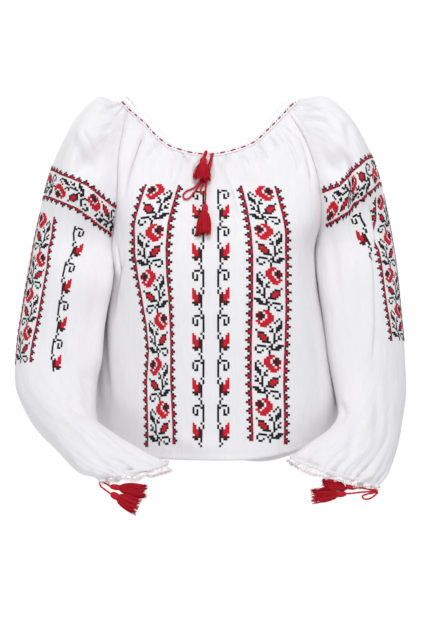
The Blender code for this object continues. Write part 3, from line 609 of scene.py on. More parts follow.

# creases: x, z (mm) from the top down, half width, depth (mm) and how far one side
# laps over the other (left over right is positive)
creases = {
    "front": [
        ([(-102, -42), (-107, -62), (-113, -86), (-122, -112), (-130, -140), (-138, -176)], 8, -5.2, 3),
        ([(-80, -72), (-88, -84), (-95, -100)], 6, -3.6, 1),
        ([(18, -100), (25, -126), (35, -158), (40, -184), (45, -208)], 4, -4.4, 0),
        ([(126, -50), (139, -60), (149, -78), (156, -102), (160, -130), (163, -160)], 7, -4.0, -3),
        ([(136, -42), (145, -66), (153, -90)], 5, -2.0, 0),
        ([(116, -40), (126, -47), (133, -58)], 4, -3.6, 1),
        ([(112, -50), (126, -70), (138, -98), (144, -128)], 5, -3.4, 0),
        ([(66, -82), (72, -92), (75, -108)], 4, -2.8, 0),
        ([(102, -50), (112, -62), (120, -80)], 4, -3.0, 1),
        ([(50, -92), (58, -100), (62, -116)], 5, -3.2, 0),
        ([(76, -74), (84, -84), (90, -104)], 5, -3.4, 1),
        ([(92, -56), (104, -72), (112, -96)], 5, -3.2, 1),
        ([(-50, -90), (-54, -110), (-56, -136)], 5, -2.8, 0),
        ([(-30, -96), (-32, -120), (-31, -150)], 5, -2.2, 0),
        ([(-8, -98), (-9, -120), (-6, -140)], 5, -1.2, 0),
        ([(150, -330), (164, -380), (168, -440), (160, -500)], 14, -1.6, 0),
        ([(-158, -300), (-166, -350), (-164, -420), (-150, -500)], 14, -3.5, 0),
        ([(-130, -250), (-146, -300), (-152, -360)], 10, -2.5, 0),
        ([(-146, -226), (-142, -252), (-141, -275), (-146, -304)], 6, -4.5, 4),
        ([(0, -240), (6, -320), (2, -400), (4, -500)], 22, -1.6, 0),
        ([(-44, -220), (-48, -320), (-42, -430)], 14, 1.2, 0),
        ([(44, -230), (50, -330), (46, -450)], 14, 1.2, 0),
        ([(-60, -520), (-20, -536), (40, -538)], 14, 1.4, 0),
    ],
    "back": [
        ([(-96, -60), (-112, -96), (-128, -140), (-140, -184)], 8, -4.0, 3),
        ([(98, -60), (114, -100), (130, -148), (144, -190)], 8, -4.0, -3),
        ([(-60, -80), (-66, -120), (-64, -170)], 7, -2.4, 0),
        ([(-24, -86), (-28, -140), (-22, -190)], 8, -2.4, 0),
        ([(22, -84), (28, -130), (34, -176)], 7, -2.4, 0),
        ([(58, -78), (66, -118), (64, -160)], 7, -2.4, 0),
        ([(-118, -250), (-128, -330), (-124, -420), (-112, -520)], 18, -5.0, 0),
        ([(-50, -300), (-58, -400), (-50, -540)], 20, -4.0, 0),
        ([(26, -280), (34, -380), (30, -520)], 18, -3.6, 0),
        ([(104, -260), (118, -350), (116, -460), (108, -540)], 18, -4.6, 0),
        ([(-10, -240), (-14, -330), (-8, -420)], 14, 2.0, 0),
        ([(-84, -250), (-92, -330), (-84, -450)], 9, -2.6, 2),
        ([(70, -240), (76, -330), (68, -430)], 9, -2.6, -2),
        ([(-2, -130), (4, -190), (0, -250)], 9, -2.2, 0),
        ([(150, -230), (128, -262), (100, -284)], 10, -3.0, 0),
        ([(-146, -232), (-122, -262), (-90, -280)], 10, -3.0, 0),
    ],
    "leftFront": [
        ([(-198, -49), (-183, -74), (-165, -102)], 7, -2.6, 2),
        ([(-214, -104), (-188, -104), (-160, -116)], 26, -13.0, 0),
        ([(-208, -52), (-184, -58), (-160, -72)], 22, 6.0, 0),
        ([(-140, -12), (-160, -6), (-180, -6)], 5, -2.0, 0),
        ([(-142, -18), (-164, -14), (-188, -14)], 6, -2.4, 0),
        ([(-146, -28), (-172, -26), (-200, -24)], 7, -2.2, 0),
        ([(-150, -46), (-166, -54), (-184, -58)], 7, -1.8, 0),
        ([(-168, -150), (-176, -176), (-180, -200)], 9, -2.2, 0),
        ([(-172, -270), (-178, -330), (-182, -390)], 12, -3.0, 0),
        ([(-206, -250), (-212, -320), (-216, -390), (-208, -440)], 14, 2.2, 0),
        ([(-250, -240), (-262, -330), (-270, -410)], 12, -1.6, 0),
        ([(-218, -462), (-206, -482), (-192, -502)], 12, -3.0, 0),
        ([(-186, -508), (-172, -522), (-140, -538), (-104, -548)], 9, -2.6, 0),
        ([(-240, -490), (-206, -520), (-164, -552), (-130, -568)], 11, -1.4, 0),
        ([(-212, -540), (-176, -568), (-146, -582)], 8, -1.2, 0),
        ([(-196, -420), (-190, -460), (-170, -500)], 12, -1.6, 0),
    ],
    "leftBack": [
        ([(-150, -30), (-176, -50), (-196, -84)], 8, -4.0, 3),
        ([(-146, -60), (-164, -90), (-176, -130)], 8, -3.6, 0),
        ([(-190, -140), (-196, -200), (-190, -260)], 10, -3.0, 0),
        ([(-236, -180), (-244, -260), (-248, -340)], 12, -2.4, 0),
        ([(-196, -300), (-206, -370), (-212, -430)], 12, -3.6, 0),
        ([(-280, -440), (-240, -480), (-200, -500)], 9, -5.0, 3),
        ([(-270, -480), (-220, -520), (-170, -540)], 10, -4.0, 0),
    ],
    "rightFront": [
        ([(138, -12), (160, -6), (184, -8)], 5, -2.0, 0),
        ([(137, -18), (166, -18), (198, -24), (212, -34)], 6, -2.6, 0),
        ([(142, -32), (168, -34), (190, -44)], 7, -2.0, 0),
        ([(216, -34), (219, -64), (221, -98)], 12, -3.2, 0),
        ([(176, -80), (186, -110), (190, -136)], 9, -1.6, 0),
        ([(222, -92), (202, -106), (184, -128)], 24, -9.0, 0),
        ([(222, -86), (223, -120), (224, -160), (230, -200)], 9, -5.5, 0),
        ([(251, -166), (254, -190), (257, -215), (259, -240)], 7, -2.4, 5),
        ([(250, -228), (253, -270), (254, -320), (254, -370), (252, -420)], 8, -3.0, 7),
        ([(190, -200), (196, -260), (202, -330)], 12, -2.4, 0),
        ([(222, -220), (220, -300), (216, -380)], 16, 2.0, 0),
        ([(201, -474), (204, -488), (200, -502)], 9, -3.0, 0),
        ([(246, -462), (238, -490), (234, -520)], 14, 2.4, 0),
        ([(262, -440), (258, -480), (250, -530), (240, -560)], 10, -1.4, 0),
        ([(222, -500), (212, -530), (204, -556)], 9, -2.4, 0),
        ([(284, -470), (270, -520), (252, -560)], 9, -1.2, 0),
    ],
    "rightBack": [
        ([(150, -30), (178, -52), (198, -90)], 8, -4.0, -3),
        ([(150, -62), (168, -96), (182, -140)], 8, -3.6, 0),
        ([(200, -150), (206, -210), (204, -270)], 10, -3.0, 0),
        ([(244, -170), (254, -250), (262, -330)], 12, -2.4, 0),
        ([(214, -300), (222, -380), (226, -440)], 12, -3.6, 0),
        ([(296, -450), (262, -490), (222, -506)], 9, -5.0, -3),
        ([(290, -500), (250, -530), (200, -540)], 10, -4.0, 0),
    ],
}


def smooth(t):
    t = np.clip(t, 0, 1)
    return t * t * (3 - 2 * t)


def lifted(grid, normal, places, facing):
    # x, z places put on the side of the panel that faces forward (-1) or backward (1)
    flat = grid[..., [0, 2]].reshape(-1, 2) * 1000
    away = np.where(normal[..., 1].reshape(-1) * facing > 0.05, 0, 1e6)
    near = [np.argmin(np.sum((flat - place) ** 2, axis=1) + away) for place in places]
    return grid.reshape(-1, 3)[near]


def fromLine(points, normal, line):
    # signed distance across a crease, share along it and the way across it
    curve = along(line, np.linspace(0, len(line) - 1, 25))
    best = np.full(len(points), 1e9)
    across = np.zeros_like(points)
    side = np.zeros(len(points))
    share = np.zeros(len(points))
    for k in range(24):
        a, step = curve[k], curve[k + 1] - curve[k]
        t = np.clip((points - a) @ step / max(step @ step, 1e-12), 0, 1)
        off = points - a - t[:, None] * step
        far = np.linalg.norm(off, axis=1)
        way = np.cross(normal, step)
        closer = far < best
        best[closer] = far[closer]
        across[closer] = way[closer]
        side[closer] = np.sign(np.sum(way * off, axis=1))[closer]
        share[closer] = ((k + t) / 24)[closer]
    return best * side, share, unit(across)


def creased(grid, normal, table, facing):
    shift = np.zeros(grid.shape).reshape(-1, 3)
    points, turn = grid.reshape(-1, 3), normal.reshape(-1, 3)
    for places, width, depth, lap in table:
        line = lifted(grid, normal, places, facing)
        middle = line.mean(axis=0)
        reach = np.linalg.norm(line - middle, axis=1).max() + 0.003 * width
        near = np.where(np.linalg.norm(points - middle, axis=1) < reach)[0]
        s, share, across = fromLine(points[near], turn[near], line)
        s = s / (width * 0.001)
        ends = smooth(share / 0.25) * smooth((1 - share) / 0.35)
        ends = ends * (np.sum(turn[near] * turn[near], axis=1) > 0)
        rise = 1.35 * depth * (1 - 0.9 * s * s) * np.exp(-s * s)
        odd = 2.33 * s * np.exp(-s * s)
        rise = rise - 0.45 * lap * odd
        shift[near] += turn[near] * (rise * ends * 0.001)[:, None]
        shift[near] += across * (-abs(lap) * odd * ends * 0.001)[:, None]
    return shift.reshape(grid.shape)


def waves(x, y, seed):
    # smooth random height, about -1 to 1, one bump to a unit
    rng = np.random.default_rng(seed)
    table = rng.uniform(-1, 1, (96, 96))
    x, y = np.asarray(x, float) + 40.37, np.asarray(y, float) + 40.71
    x0, y0 = np.floor(x).astype(int), np.floor(y).astype(int)
    fx, fy = smooth(x - x0), smooth(y - y0)
    x0, y0 = x0 % 95, y0 % 95
    low = table[y0, x0] * (1 - fx) + table[y0, x0 + 1] * fx
    high = table[y0 + 1, x0] * (1 - fx) + table[y0 + 1, x0 + 1] * fx
    return low * (1 - fy) + high * fy


# layers of pleats: share of their number, of their length and of their height
pleatLayers = [(1.0, 0.6, 0.7), (0.45, 1.2, 1.0), (0.2, 2.6, 0.9), (0.7, 0.22, 1.5)]
# how high the cloth puffs under the neckband, the turned hem, how the sleeve runs on over its cuff,
# and the gathers at the neck and the cuff, in metres
puffs = {"sleeveHigh": 0.0030, "bodyHigh": 0.0012, "far": 0.011, "spread": 0.008}
hem = {"deep": 0.0004, "far": 0.004, "spread": 0.0035, "stitched": 0.0085, "groove": 0.0009}
overCuff = {"low": 0.0074, "more": 0.0044, "spread": 0.10, "far": 0.012, "out": 0.0012, "outFar": 0.006}
gathers = {"neckHigh": 0.0034, "neckLong": 0.040, "cuffHigh": 0.0040, "cuffLong": 0.034}


def gathered(c, away, count, height, reach, seed):
    # pleats from a gathered edge, c along the edge from 0 to 1: round ridges and narrow valleys
    # that wander, join into wider ones and die out at uneven distances
    far = reach * (1 + 0.55 * waves(c * count / 2.5, away * 0, seed + 7))
    drift = 0.9 * waves(c * count / 6, away / 0.06, seed + 8)
    rise = np.zeros(c.shape)
    for k, (share, long, high) in enumerate(pleatLayers):
        w = waves(c * count * share + drift * share, away / (reach * 2.4 * long), seed + k)
        rise += high * (np.abs(w) - 0.35) * 2.2 * np.exp(-(away / (far * long)) ** 1.3)
    return rise * height


def downOf(grid):
    steps = np.linalg.norm(np.diff(grid, axis=0), axis=2)
    return np.vstack([np.zeros(grid.shape[1]), np.cumsum(steps, axis=0)])


def acrossOf(grid):
    # cloth distance along each row from its middle column
    steps = np.linalg.norm(np.diff(grid, axis=1), axis=2)
    s = np.hstack([np.zeros((grid.shape[0], 1)), np.cumsum(steps, axis=1)])
    return s - s[:, grid.shape[1] // 2][:, None]


# layers of crumple: height, spacing across and down, and how much of the bend they follow
crumpleLayers = [(0.00034, 0.0062, 0.034, 1), (0.00055, 0.015, 0.060, 1), (0.0012, 0.042, 0.085, 0)]
crumpleBend = {"far": 0.006, "across": 0.05, "down": 0.09}


def crumpled(across, down, seed):
    # long soft crinkles down the cloth over broader ones, in metres
    bend = crumpleBend["far"] * waves(across / crumpleBend["across"], down / crumpleBend["down"], seed + 5)
    rise = 0
    for k, (high, wide, long, follow) in enumerate(crumpleLayers):
        rise = rise + high * waves((across + bend * follow) / wide, down / long, seed + k)
    return rise


def seamed(across):
    # a pressed seam: a soft ridge of the turned edges beside it
    return 0.00035 * np.exp(-((across - 0.004) / 0.0022) ** 2)


def panelOf(grid, sign, tables, neckPleats, seed, cuffPleats=0):
    # a panel of cloth with its crumple, gathers, hem or cuff, seams and creases
    normal = normalsOf(grid, False) * sign
    down, across = downOf(grid), acrossOf(grid)
    toSide = np.minimum(across - across[:, :1], across[:, -1:] - across)
    c = np.linspace(0, 1, grid.shape[1])[None, :] * np.ones((grid.shape[0], 1))
    edge = smooth(toSide / 0.010)
    rise = crumpled(across, down, seed) * smooth(down / 0.012)
    rise += (gathered(c, down, neckPleats, gathers["neckHigh"], gathers["neckLong"], seed + 10)
             * smooth(down / 0.005))
    puff = puffs["sleeveHigh"] if cuffPleats else puffs["bodyHigh"]
    rise += puff * np.exp(-((down - puffs["far"]) / puffs["spread"]) ** 2)
    left = down[-1:] - down
    if cuffPleats:
        rise += gathered(c, left, cuffPleats, gathers["cuffHigh"], gathers["cuffLong"], seed + 12)
        rise = rise * (0.25 + 0.75 * smooth(left / 0.008))
        rise = rise + 0.0022 * np.exp(-((left - 0.010) / 0.010) ** 2)
    else:
        # the turned hem and its line of stitching
        rise += hem["deep"] * np.exp(-((left - hem["far"]) / hem["spread"]) ** 4)
        rise -= hem["deep"] * np.exp(-((left - hem["stitched"]) / hem["groove"]) ** 2)
    shift = normal * (rise * edge + seamed(toSide))[..., None]
    if cuffPleats:
        # the cloth runs on over the cuff band to the lace
        low = overCuff["low"] + overCuff["more"] * np.exp(-((c - 0.5) / overCuff["spread"]) ** 2)
        uneven = 1 + 0.40 * waves(c * cuffPleats / 2.5, left * 0, seed + 15)
        shift[..., 2] -= low * np.exp(-left / overCuff["far"]) * uneven
        shift += normal * (overCuff["out"] * np.exp(-left / overCuff["outFar"]))[..., None]
    for table, facing in tables:
        more = creased(grid, normal, table, facing) * smooth(toSide / 0.012)[..., None]
        more *= smooth(down / 0.010)[..., None]
        if cuffPleats:
            more *= smooth(left / 0.010)[..., None]
        shift = shift + more
    if not cuffPleats:
        shift[:, 0] = 0
        shift[:, -1] = 0
    else:
        free = (down < down[under]) | (left > 0.03)
        shift[:, 0] = np.where(free[:, :1], 0, shift[:, 0])
        shift[:, -1] = np.where(free[:, -1:], 0, shift[:, 0])
    return grid + shift, across, down


panels = {
    "front": panelOf(front, 1, [(creases["front"], -1)], 54, 3),
    "back": panelOf(back, -1, [(creases["back"], 1)], 44, 23),
    "sleeve_left": panelOf(sleeveLeft, -1, [(creases["leftFront"], -1), (creases["leftBack"], 1)],
                           26, 43, 44),
    "sleeve_right": panelOf(sleeveRight, 1, [(creases["rightFront"], -1), (creases["rightBack"], 1)],
                            26, 63, 44),
}
signs = {"front": 1, "back": -1, "sleeve_left": -1, "sleeve_right": 1}
fineNormals = {name: normalsOf(panels[name][0], False) * signs[name] for name in panels}
print("relief ready")


def shellOf(name, grid, normal, across, down, sign, wall, material, wrap=False):
    # both sides of the cloth and its edges, with a cloth map in metres
    rows, columns = grid.shape[:2]
    outer, inner = grid + normal * wall / 2, grid - normal * wall / 2
    points = np.concatenate([outer.reshape(-1, 3), inner.reshape(-1, 3)])
    index = np.arange(rows * columns).reshape(rows, columns)
    a, b = index[:-1, :-1].ravel(), index[:-1, 1:].ravel()
    c, d = index[1:, 1:].ravel(), index[1:, :-1].ravel()
    far = rows * columns
    faces = [np.stack([a, d, c, b], 1), np.stack([a, b, c, d], 1) + far]
    rims = [(index[0], 1), (index[-1], -1)]
    if not wrap:
        rims += [(index[:, 0], -1), (index[:, -1], 1)]
    for line, turn in rims:
        p, q = line[:-1], line[1:]
        quad = np.stack([p, q, q + far, p + far], 1)
        faces.append(quad if turn > 0 else quad[:, ::-1])
    faces = np.concatenate(faces)
    if sign < 0:
        faces = faces[:, ::-1]
    mesh = bpy.data.meshes.new(name)
    mesh.vertices.add(len(points))
    mesh.vertices.foreach_set("co", points.ravel())
    mesh.loops.add(faces.size)
    mesh.loops.foreach_set("vertex_index", faces.ravel())
    mesh.polygons.add(len(faces))
    mesh.polygons.foreach_set("loop_start", np.arange(len(faces)) * 4)
    mesh.polygons.foreach_set("use_smooth", np.ones(len(faces), bool))
    mesh.materials.append(material)
    uv = np.stack([np.concatenate([across.ravel()] * 2), np.concatenate([down.ravel()] * 2)], 1)
    layer = mesh.uv_layers.new(name="cloth")
    layer.data.foreach_set("uv", uv[faces.ravel()].ravel())
    mesh.update()
    mesh.validate()
    made = bpy.data.objects.new(name, mesh)
    scene.collection.objects.link(made)
    return made


shells = {}
for name, (grid, across, down) in panels.items():
    shells[name] = shellOf(name + "_cloth", grid, fineNormals[name], across, down, signs[name],
                           thick, cottonMaterial)
print("cloth ready")


def instancer():
    tree = bpy.data.node_groups.new("copies", "GeometryNodeTree")
    face = tree.interface
    face.new_socket("Points", in_out="INPUT", socket_type="NodeSocketGeometry")
    face.new_socket("Piece", in_out="INPUT", socket_type="NodeSocketObject")
    face.new_socket("Material", in_out="INPUT", socket_type="NodeSocketMaterial")
    face.new_socket("Geometry", in_out="OUTPUT", socket_type="NodeSocketGeometry")
    nodes, link = tree.nodes, tree.links.new
    given, out = nodes.new("NodeGroupInput"), nodes.new("NodeGroupOutput")
    info = nodes.new("GeometryNodeObjectInfo")
    put = nodes.new("GeometryNodeInstanceOnPoints")
    turn = nodes.new("FunctionNodeAxesToRotation")
    turn.primary_axis, turn.secondary_axis = "Z", "X"
    fields = {}
    for name in ("up", "across", "size"):
        fields[name] = nodes.new("GeometryNodeInputNamedAttribute")
        fields[name].data_type = "FLOAT_VECTOR"
        fields[name].inputs["Name"].default_value = name
    real = nodes.new("GeometryNodeRealizeInstances")
    paint = nodes.new("GeometryNodeSetMaterial")
    link(given.outputs["Points"], put.inputs["Points"])
    link(given.outputs["Piece"], info.inputs["Object"])
    link(info.outputs["Geometry"], put.inputs["Instance"])
    link(fields["up"].outputs["Attribute"], turn.inputs["Primary Axis"])
    link(fields["across"].outputs["Attribute"], turn.inputs["Secondary Axis"])
    link(turn.outputs["Rotation"], put.inputs["Rotation"])
    link(fields["size"].outputs["Attribute"], put.inputs["Scale"])
    link(put.outputs["Instances"], real.inputs["Geometry"])
    link(real.outputs["Geometry"], paint.inputs["Geometry"])
    link(given.outputs["Material"], paint.inputs["Material"])
    link(paint.outputs["Geometry"], out.inputs["Geometry"])
    return tree


copies = instancer()


def copied(name, piece, points, up, across, size, material, tint=None):
    # copies of one small piece on many points, as one plain mesh
    mesh = bpy.data.meshes.new(name + "_points")
    mesh.vertices.add(len(points))
    mesh.vertices.foreach_set("co", np.asarray(points, float).ravel())
    for label, values in (("up", up), ("across", across), ("size", size)):
        got = mesh.attributes.new(label, "FLOAT_VECTOR", "POINT")
        got.data.foreach_set("vector", np.asarray(values, float).ravel())
    if tint is not None:
        got = mesh.attributes.new("tint", "FLOAT_COLOR", "POINT")
        rgba = np.column_stack([np.asarray(tint, float), np.ones(len(points))])
        got.data.foreach_set("color", rgba.ravel())
    seeds = bpy.data.objects.new(name + "_points", mesh)
    scene.collection.objects.link(seeds)
    modifier = seeds.modifiers.new("copies", "NODES")
    modifier.node_group = copies
    for item in copies.interface.items_tree:
        if item.in_out == "INPUT" and item.name == "Piece":
            modifier[item.identifier] = piece
        if item.in_out == "INPUT" and item.name == "Material":
            modifier[item.identifier] = material
    bpy.context.view_layer.update()
    graph = bpy.context.evaluated_depsgraph_get()
    final = bpy.data.meshes.new_from_object(seeds.evaluated_get(graph))
    final.name = name
    final.polygons.foreach_set("use_smooth", [True] * len(final.polygons))
    bpy.data.objects.remove(seeds, do_unlink=True)
    made = bpy.data.objects.new(name, final)
    scene.collection.objects.link(made)
    return made


# one cross-stitch in a cell of side 1: a low pad and two crossing legs of thread
def stitchPiece():
    points = [(-0.5, -0.5, 0.06), (0.5, -0.5, 0.06), (0.5, 0.5, 0.06), (-0.5, 0.5, 0.06)]
    faces = [(0, 1, 2, 3)]
    for turn, low, peak in ((1, 0.10, 0.46), (-1, 0.14, 0.74)):
        first = len(points)
        for t, half, high in ((-0.49, 0.09, 0.4), (-0.20, 0.20, 0.9), (0.20, 0.20, 0.9), (0.49, 0.09, 0.4)):
            x, y = t, t * turn
            nx, ny = -turn * half * 0.7071, half * 0.7071
            points += [(x - nx, y - ny, low), (x, y, low + peak * high), (x + nx, y + ny, low)]
        for k in range(3):
            for side in range(2):
                a = first + 3 * k + side
                faces.append((a, a + 3, a + 4, a + 1))
    return points, faces


# cross-stitch, charted: R red, C crimson, D wine, K black

roseUnit = """
....RRR.......
..DD.RRR......
.DDKD.RRR.....
.DDKD.RRR..K..
..DD.RRRR.K.K.
.RR.RRRR.K..K.
..RRRRR....KK.
...RRR.K..KKK.
........K.KK..
.K.....KK.K...
..KKK....K..K.
..RRRK...K.K..
..KRRRK..K.KK.
...KRRK..KK...
....KKKK.K....
........K..KKK
..KKKK.KK.KKK.
.K....K.KKKK..
.K..K..K......
..KK...K......
""".split()
vineUnit = """
...K..
....K.
....K.
.KKK.K
K...KK
K.K..K
K.K..K
.KK..K
.....K
.....K
.....K
R...K.
RR...K
RR.K.K
RRRDK.
RRRDK.
.RRDK.
KDDDK.
.KK.K.
....K.
""".split()
# a tooth of the border, from its inner edge out
borderUnit = ["CK.", "CCK", "CK.", "K.."]
threadOf = {"R": colours["red"], "C": colours["crimson"], "D": colours["wine"], "K": colours["black"]}
# cells across a wide band (3 of border, a quarter, 14, a quarter, 3) and across a vine
wideBand = 20.5
vineWide = 6


def bandCells(first, last, startWith):
    # (row, place across in cells from 0, thread) of a wide band; units alternate
    cells = []
    for r in range(first, last):
        unitRow = roseUnit[r % 20]
        flip = ((r // 20) % 2) != startWith
        for k, letter in enumerate(unitRow[::-1] if flip else unitRow):
            if letter != ".":
                cells.append((r, 3.25 + k, letter))
        for k, letter in enumerate(borderUnit[(r + 3) % 4]):
            if letter != ".":
                cells.append((r, 2 - k, letter))
                cells.append((r, wideBand - 3 + k, letter))
    return cells


def vineCells(first, last, mirror):
    cells = []
    for r in range(first, last):
        row = vineUnit[r % 20]
        for k, letter in enumerate(row[::-1] if mirror else row):
            if letter != ".":
                cells.append((r, k, letter))
    return cells


def surfaceAt(name, c, v):
    # cloth points and normals at shares across (0 to 1) and rows v
    grid = panels[name][0]
    rowsAt = bodyAt if name in ("front", "back") else armAt
    i = np.interp(v, rowsAt, np.arange(len(rowsAt)))
    j = np.asarray(c) * (grid.shape[1] - 1)
    return pick(grid, i, j), unit(pick(fineNormals[name], i, j))


stitch = meshOf("stitch_piece", *stitchPiece(), flossMaterial)
flossHigh = 0.0011
flossGap = 0.00004


def embroider(name, panel, cells, placeOf):
    # placeOf gives (share across, row v) of a cell's corner at row r and place k
    r = np.array([cell[0] for cell in cells], float)
    k = np.array([cell[1] for cell in cells], float)
    corners = []
    for dr, dk in ((0, 0), (0, 1), (1, 1), (1, 0)):
        c, v = placeOf(r + dr, k + dk)
        corners.append(surfaceAt(panel, c, v)[0])
    c, v = placeOf(r + 0.5, k + 0.5)
    middle, up = surfaceAt(panel, c, v)
    across = (corners[1] + corners[2] - corners[0] - corners[3]) / 2
    down = (corners[2] + corners[3] - corners[0] - corners[1]) / 2
    up = np.cross(across, down)
    turn = np.sign(np.sum(up * surfaceAt(panel, c, v)[1], axis=1))[:, None]
    up = unit(up) * turn
    size = np.stack([np.linalg.norm(across, axis=1), np.linalg.norm(down, axis=1),
                     np.full(len(cells), flossHigh)], 1)
    rng = np.random.default_rng(len(cells))
    tint = np.array([threadOf[cell[2]] for cell in cells]) * rng.uniform(0.86, 1.1, (len(cells), 1))
    middle = middle + up * (thick / 2 + flossGap)
    return copied(name, stitch, middle, up, across, size, flossMaterial, tint)


def frontShare(x):
    return 0.5 + 0.5 * clothShare * x / clothSide


# front: distances from the middle, height of the first row, pitches, and how far (mm) the left
# and right edges of a band lean towards the right at some rows
frontWork = {
    "band_left": {"from": -0.125, "top": -0.1385, "pitch": 0.067 / wideBand, "down": 0.0034,
                  "rows": [0, 10, 20, 32, 43, 54, 65, 76, 90, 114],
                  "left": [14, 3.5, -8.5, -12, -5.5, 4.5, 12.5, 16, 11, 14],
                  "right": [17.5, 11, 4.5, 0.5, 0.5, 2.5, 3, 3.5, 3.5, 6.5]},
    "band_right": {"from": 0.058, "top": -0.1405, "pitch": 0.067 / wideBand, "down": 0.00334,
                   "rows": [0, 11, 24, 36, 57, 77, 93, 117],
                   "left": [-19, -12, -6.5, -4, -4.5, -6, -5.5, -2.5],
                   "right": [-13.5, -5.5, 4.5, 7, 5, -0.5, -3.5, -2]},
    "vine_left": {"from": -0.0275, "top": -0.1385, "pitch": 0.0031, "down": 0.0034,
                  "rows": [0], "left": [0], "right": [0]},
    "vine_right": {"from": 0.0105, "top": -0.1385, "pitch": 0.0031, "down": 0.0034,
                   "rows": [0], "left": [0], "right": [0]},
}
frontCells = {
    "band_left": (bandCells(0, 120, 0), wideBand),
    "band_right": (bandCells(0, 120, 1), wideBand),
    "vine_left": (vineCells(3, 122, False), vineWide),
    "vine_right": (vineCells(3, 122, True), vineWide),
}
frontDown = downOf(front)


def frontPlace(said, width):
    def place(r, k):
        left, right = (np.interp(r, said["rows"], said[side]) for side in ("left", "right"))
        lean = (left + (right - left) * k / width) * 0.001
        c = frontShare(said["from"] + said["pitch"] * k + lean)
        j = np.clip(c * (front.shape[1] - 1), 0, front.shape[1] - 1.001)
        j0, part = np.floor(j).astype(int), j - np.floor(j)
        v = np.empty(len(r))
        for n in range(len(r)):
            s = frontDown[:, j0[n]] * (1 - part[n]) + frontDown[:, j0[n] + 1] * part[n]
            z = front[:, j0[n], 2] * (1 - part[n]) + front[:, j0[n] + 1, 2] * part[n]
            start = np.interp(-said["top"], -z[:120], s[:120])
            v[n] = np.interp(start + said["down"] * r[n], s, bodyAt)
        return c, v
    return place


stitched = {"front": [], "sleeve_left": [], "sleeve_right": []}
for name, said in frontWork.items():
    cells, width = frontCells[name]
    stitched["front"].append(embroider(name, "front", cells, frontPlace(said, width)))

# the band across a sleeve: rows give how far round (m) a row of stitches lies, across is the length
# its shares are taken of, tops and lows are the rows of the panel where its edges run at such a
# share, from and to are its first and last row at the lower and the upper edge.
# A band or vine down the arm: from is its edge's distance (m) from the crest line, front negative,
# start its first row on the panel, pitch and down the size of a cell, drift how far (mm) it goes
# aside at rows of the panel, and fold the line (m) past which the cloth hides it
sleeveWork = {
    "sleeve_left": {
        "tops": ([0, 0.05, 0.16, 0.23, 0.31, 0.5, 0.7, 1],
                 [0.70, 0.70, 0.68, 0.695, 0.705, 0.695, 0.675, 0.71]),
        "lows": ([0, 0.07, 0.14, 0.2, 0.5, 0.7, 1], [0.95, 0.935, 0.905, 0.88, 0.885, 0.90, 0.95]),
        "rows": ([-71, 3.5, 23.5, 32, 40.5], [0.367, 0.113, 0.045, 0.027, 0.001]),
        "across": 0.368, "from": (-80, -80), "to": (35.5, 40.5),
        "band": {"from": -0.0115, "pitch": -0.00295, "start": 0.945, "down": 0.00300,
                 "drift": ([0.95, 1.1, 1.2, 1.35, 1.65], [-1, -5, -14, -7, 1])},
        "vine": {"from": -0.0965, "pitch": -0.0029, "start": 0.922, "down": 0.00305, "mirror": True,
                 "drift": ([0.95, 1.2, 1.4, 1.68], [-6, -13, -8, -4])},
        "backVine": {"from": 0.1165, "pitch": -0.0029, "start": 0.905, "down": 0.00305, "mirror": False},
    },
    "sleeve_right": {
        "tops": ([0, 0.06, 0.125, 0.2, 0.3, 0.5, 1], [0.59, 0.62, 0.655, 0.64, 0.64, 0.665, 0.70]),
        "lows": ([0, 0.19, 0.27, 0.32, 0.4, 0.5, 0.7, 1], [0.91, 0.905, 0.865, 0.86, 0.84, 0.85, 0.89, 0.94]),
        "rows": ([-4, 3.5, 14, 28, 32, 43.5, 116], [0.003, 0.030, 0.059, 0.077, 0.084, 0.125, 0.350]),
        "across": 0.352, "from": (2.5, -4), "to": (200, 200),
        "band": {"from": -0.0665, "pitch": 0.00290, "start": 0.880, "down": 0.00290,
                 "drift": ([0.97, 1.1, 1.45], [4, -2, 2])},
        "vine": {"from": -0.104, "pitch": 0.0029, "start": 0.885, "down": 0.0034, "mirror": False,
                 "drift": ([0.93, 1.02, 1.2], [0, 9, 24]),
                 "fold": ([0.9, 1.05, 1.2, 1.25], [-0.060, -0.066, -0.078, -0.2])},
        "backVine": {"from": 0.089, "pitch": 0.0029, "start": 0.905, "down": 0.0030, "mirror": True},
    },
}


sleeves = {"sleeve_left": sleeveLeft, "sleeve_right": sleeveRight}


def rowLength(name, v):
    return np.interp(v, armAt, np.array([lengths(row)[-1] for row in sleeves[name]]))


def acrossPlace(said):
    # cells of the band round the upper arm
    def place(r, k):
        t = np.interp(r, *said["rows"]) / said["across"]
        low, top = np.interp(t, *said["lows"]), np.interp(t, *said["tops"])
        return np.clip(t, 0.004, 0.996), low + (top - low) * k / wideBand
    return place


def alongPlace(panel, lay, width):
    # cells of a band or a vine down the arm
    base = sleeves[panel]

    def place(r, k):
        centre = 0.5 + (lay["from"] + lay["pitch"] * width / 2) / rowLength(panel, 1.2)
        line = pick(base, np.arange(len(armAt)), np.full(len(armAt), centre * (base.shape[1] - 1)))
        s = lengths(line)
        v = np.interp(np.interp(lay["start"], armAt, s) + lay["down"] * r, s, armAt)
        aside = lay["from"] + lay["pitch"] * k
        if "drift" in lay:
            aside = aside + np.interp(v, *lay["drift"]) * 0.001
        return 0.5 + aside / rowLength(panel, v), v
    return place


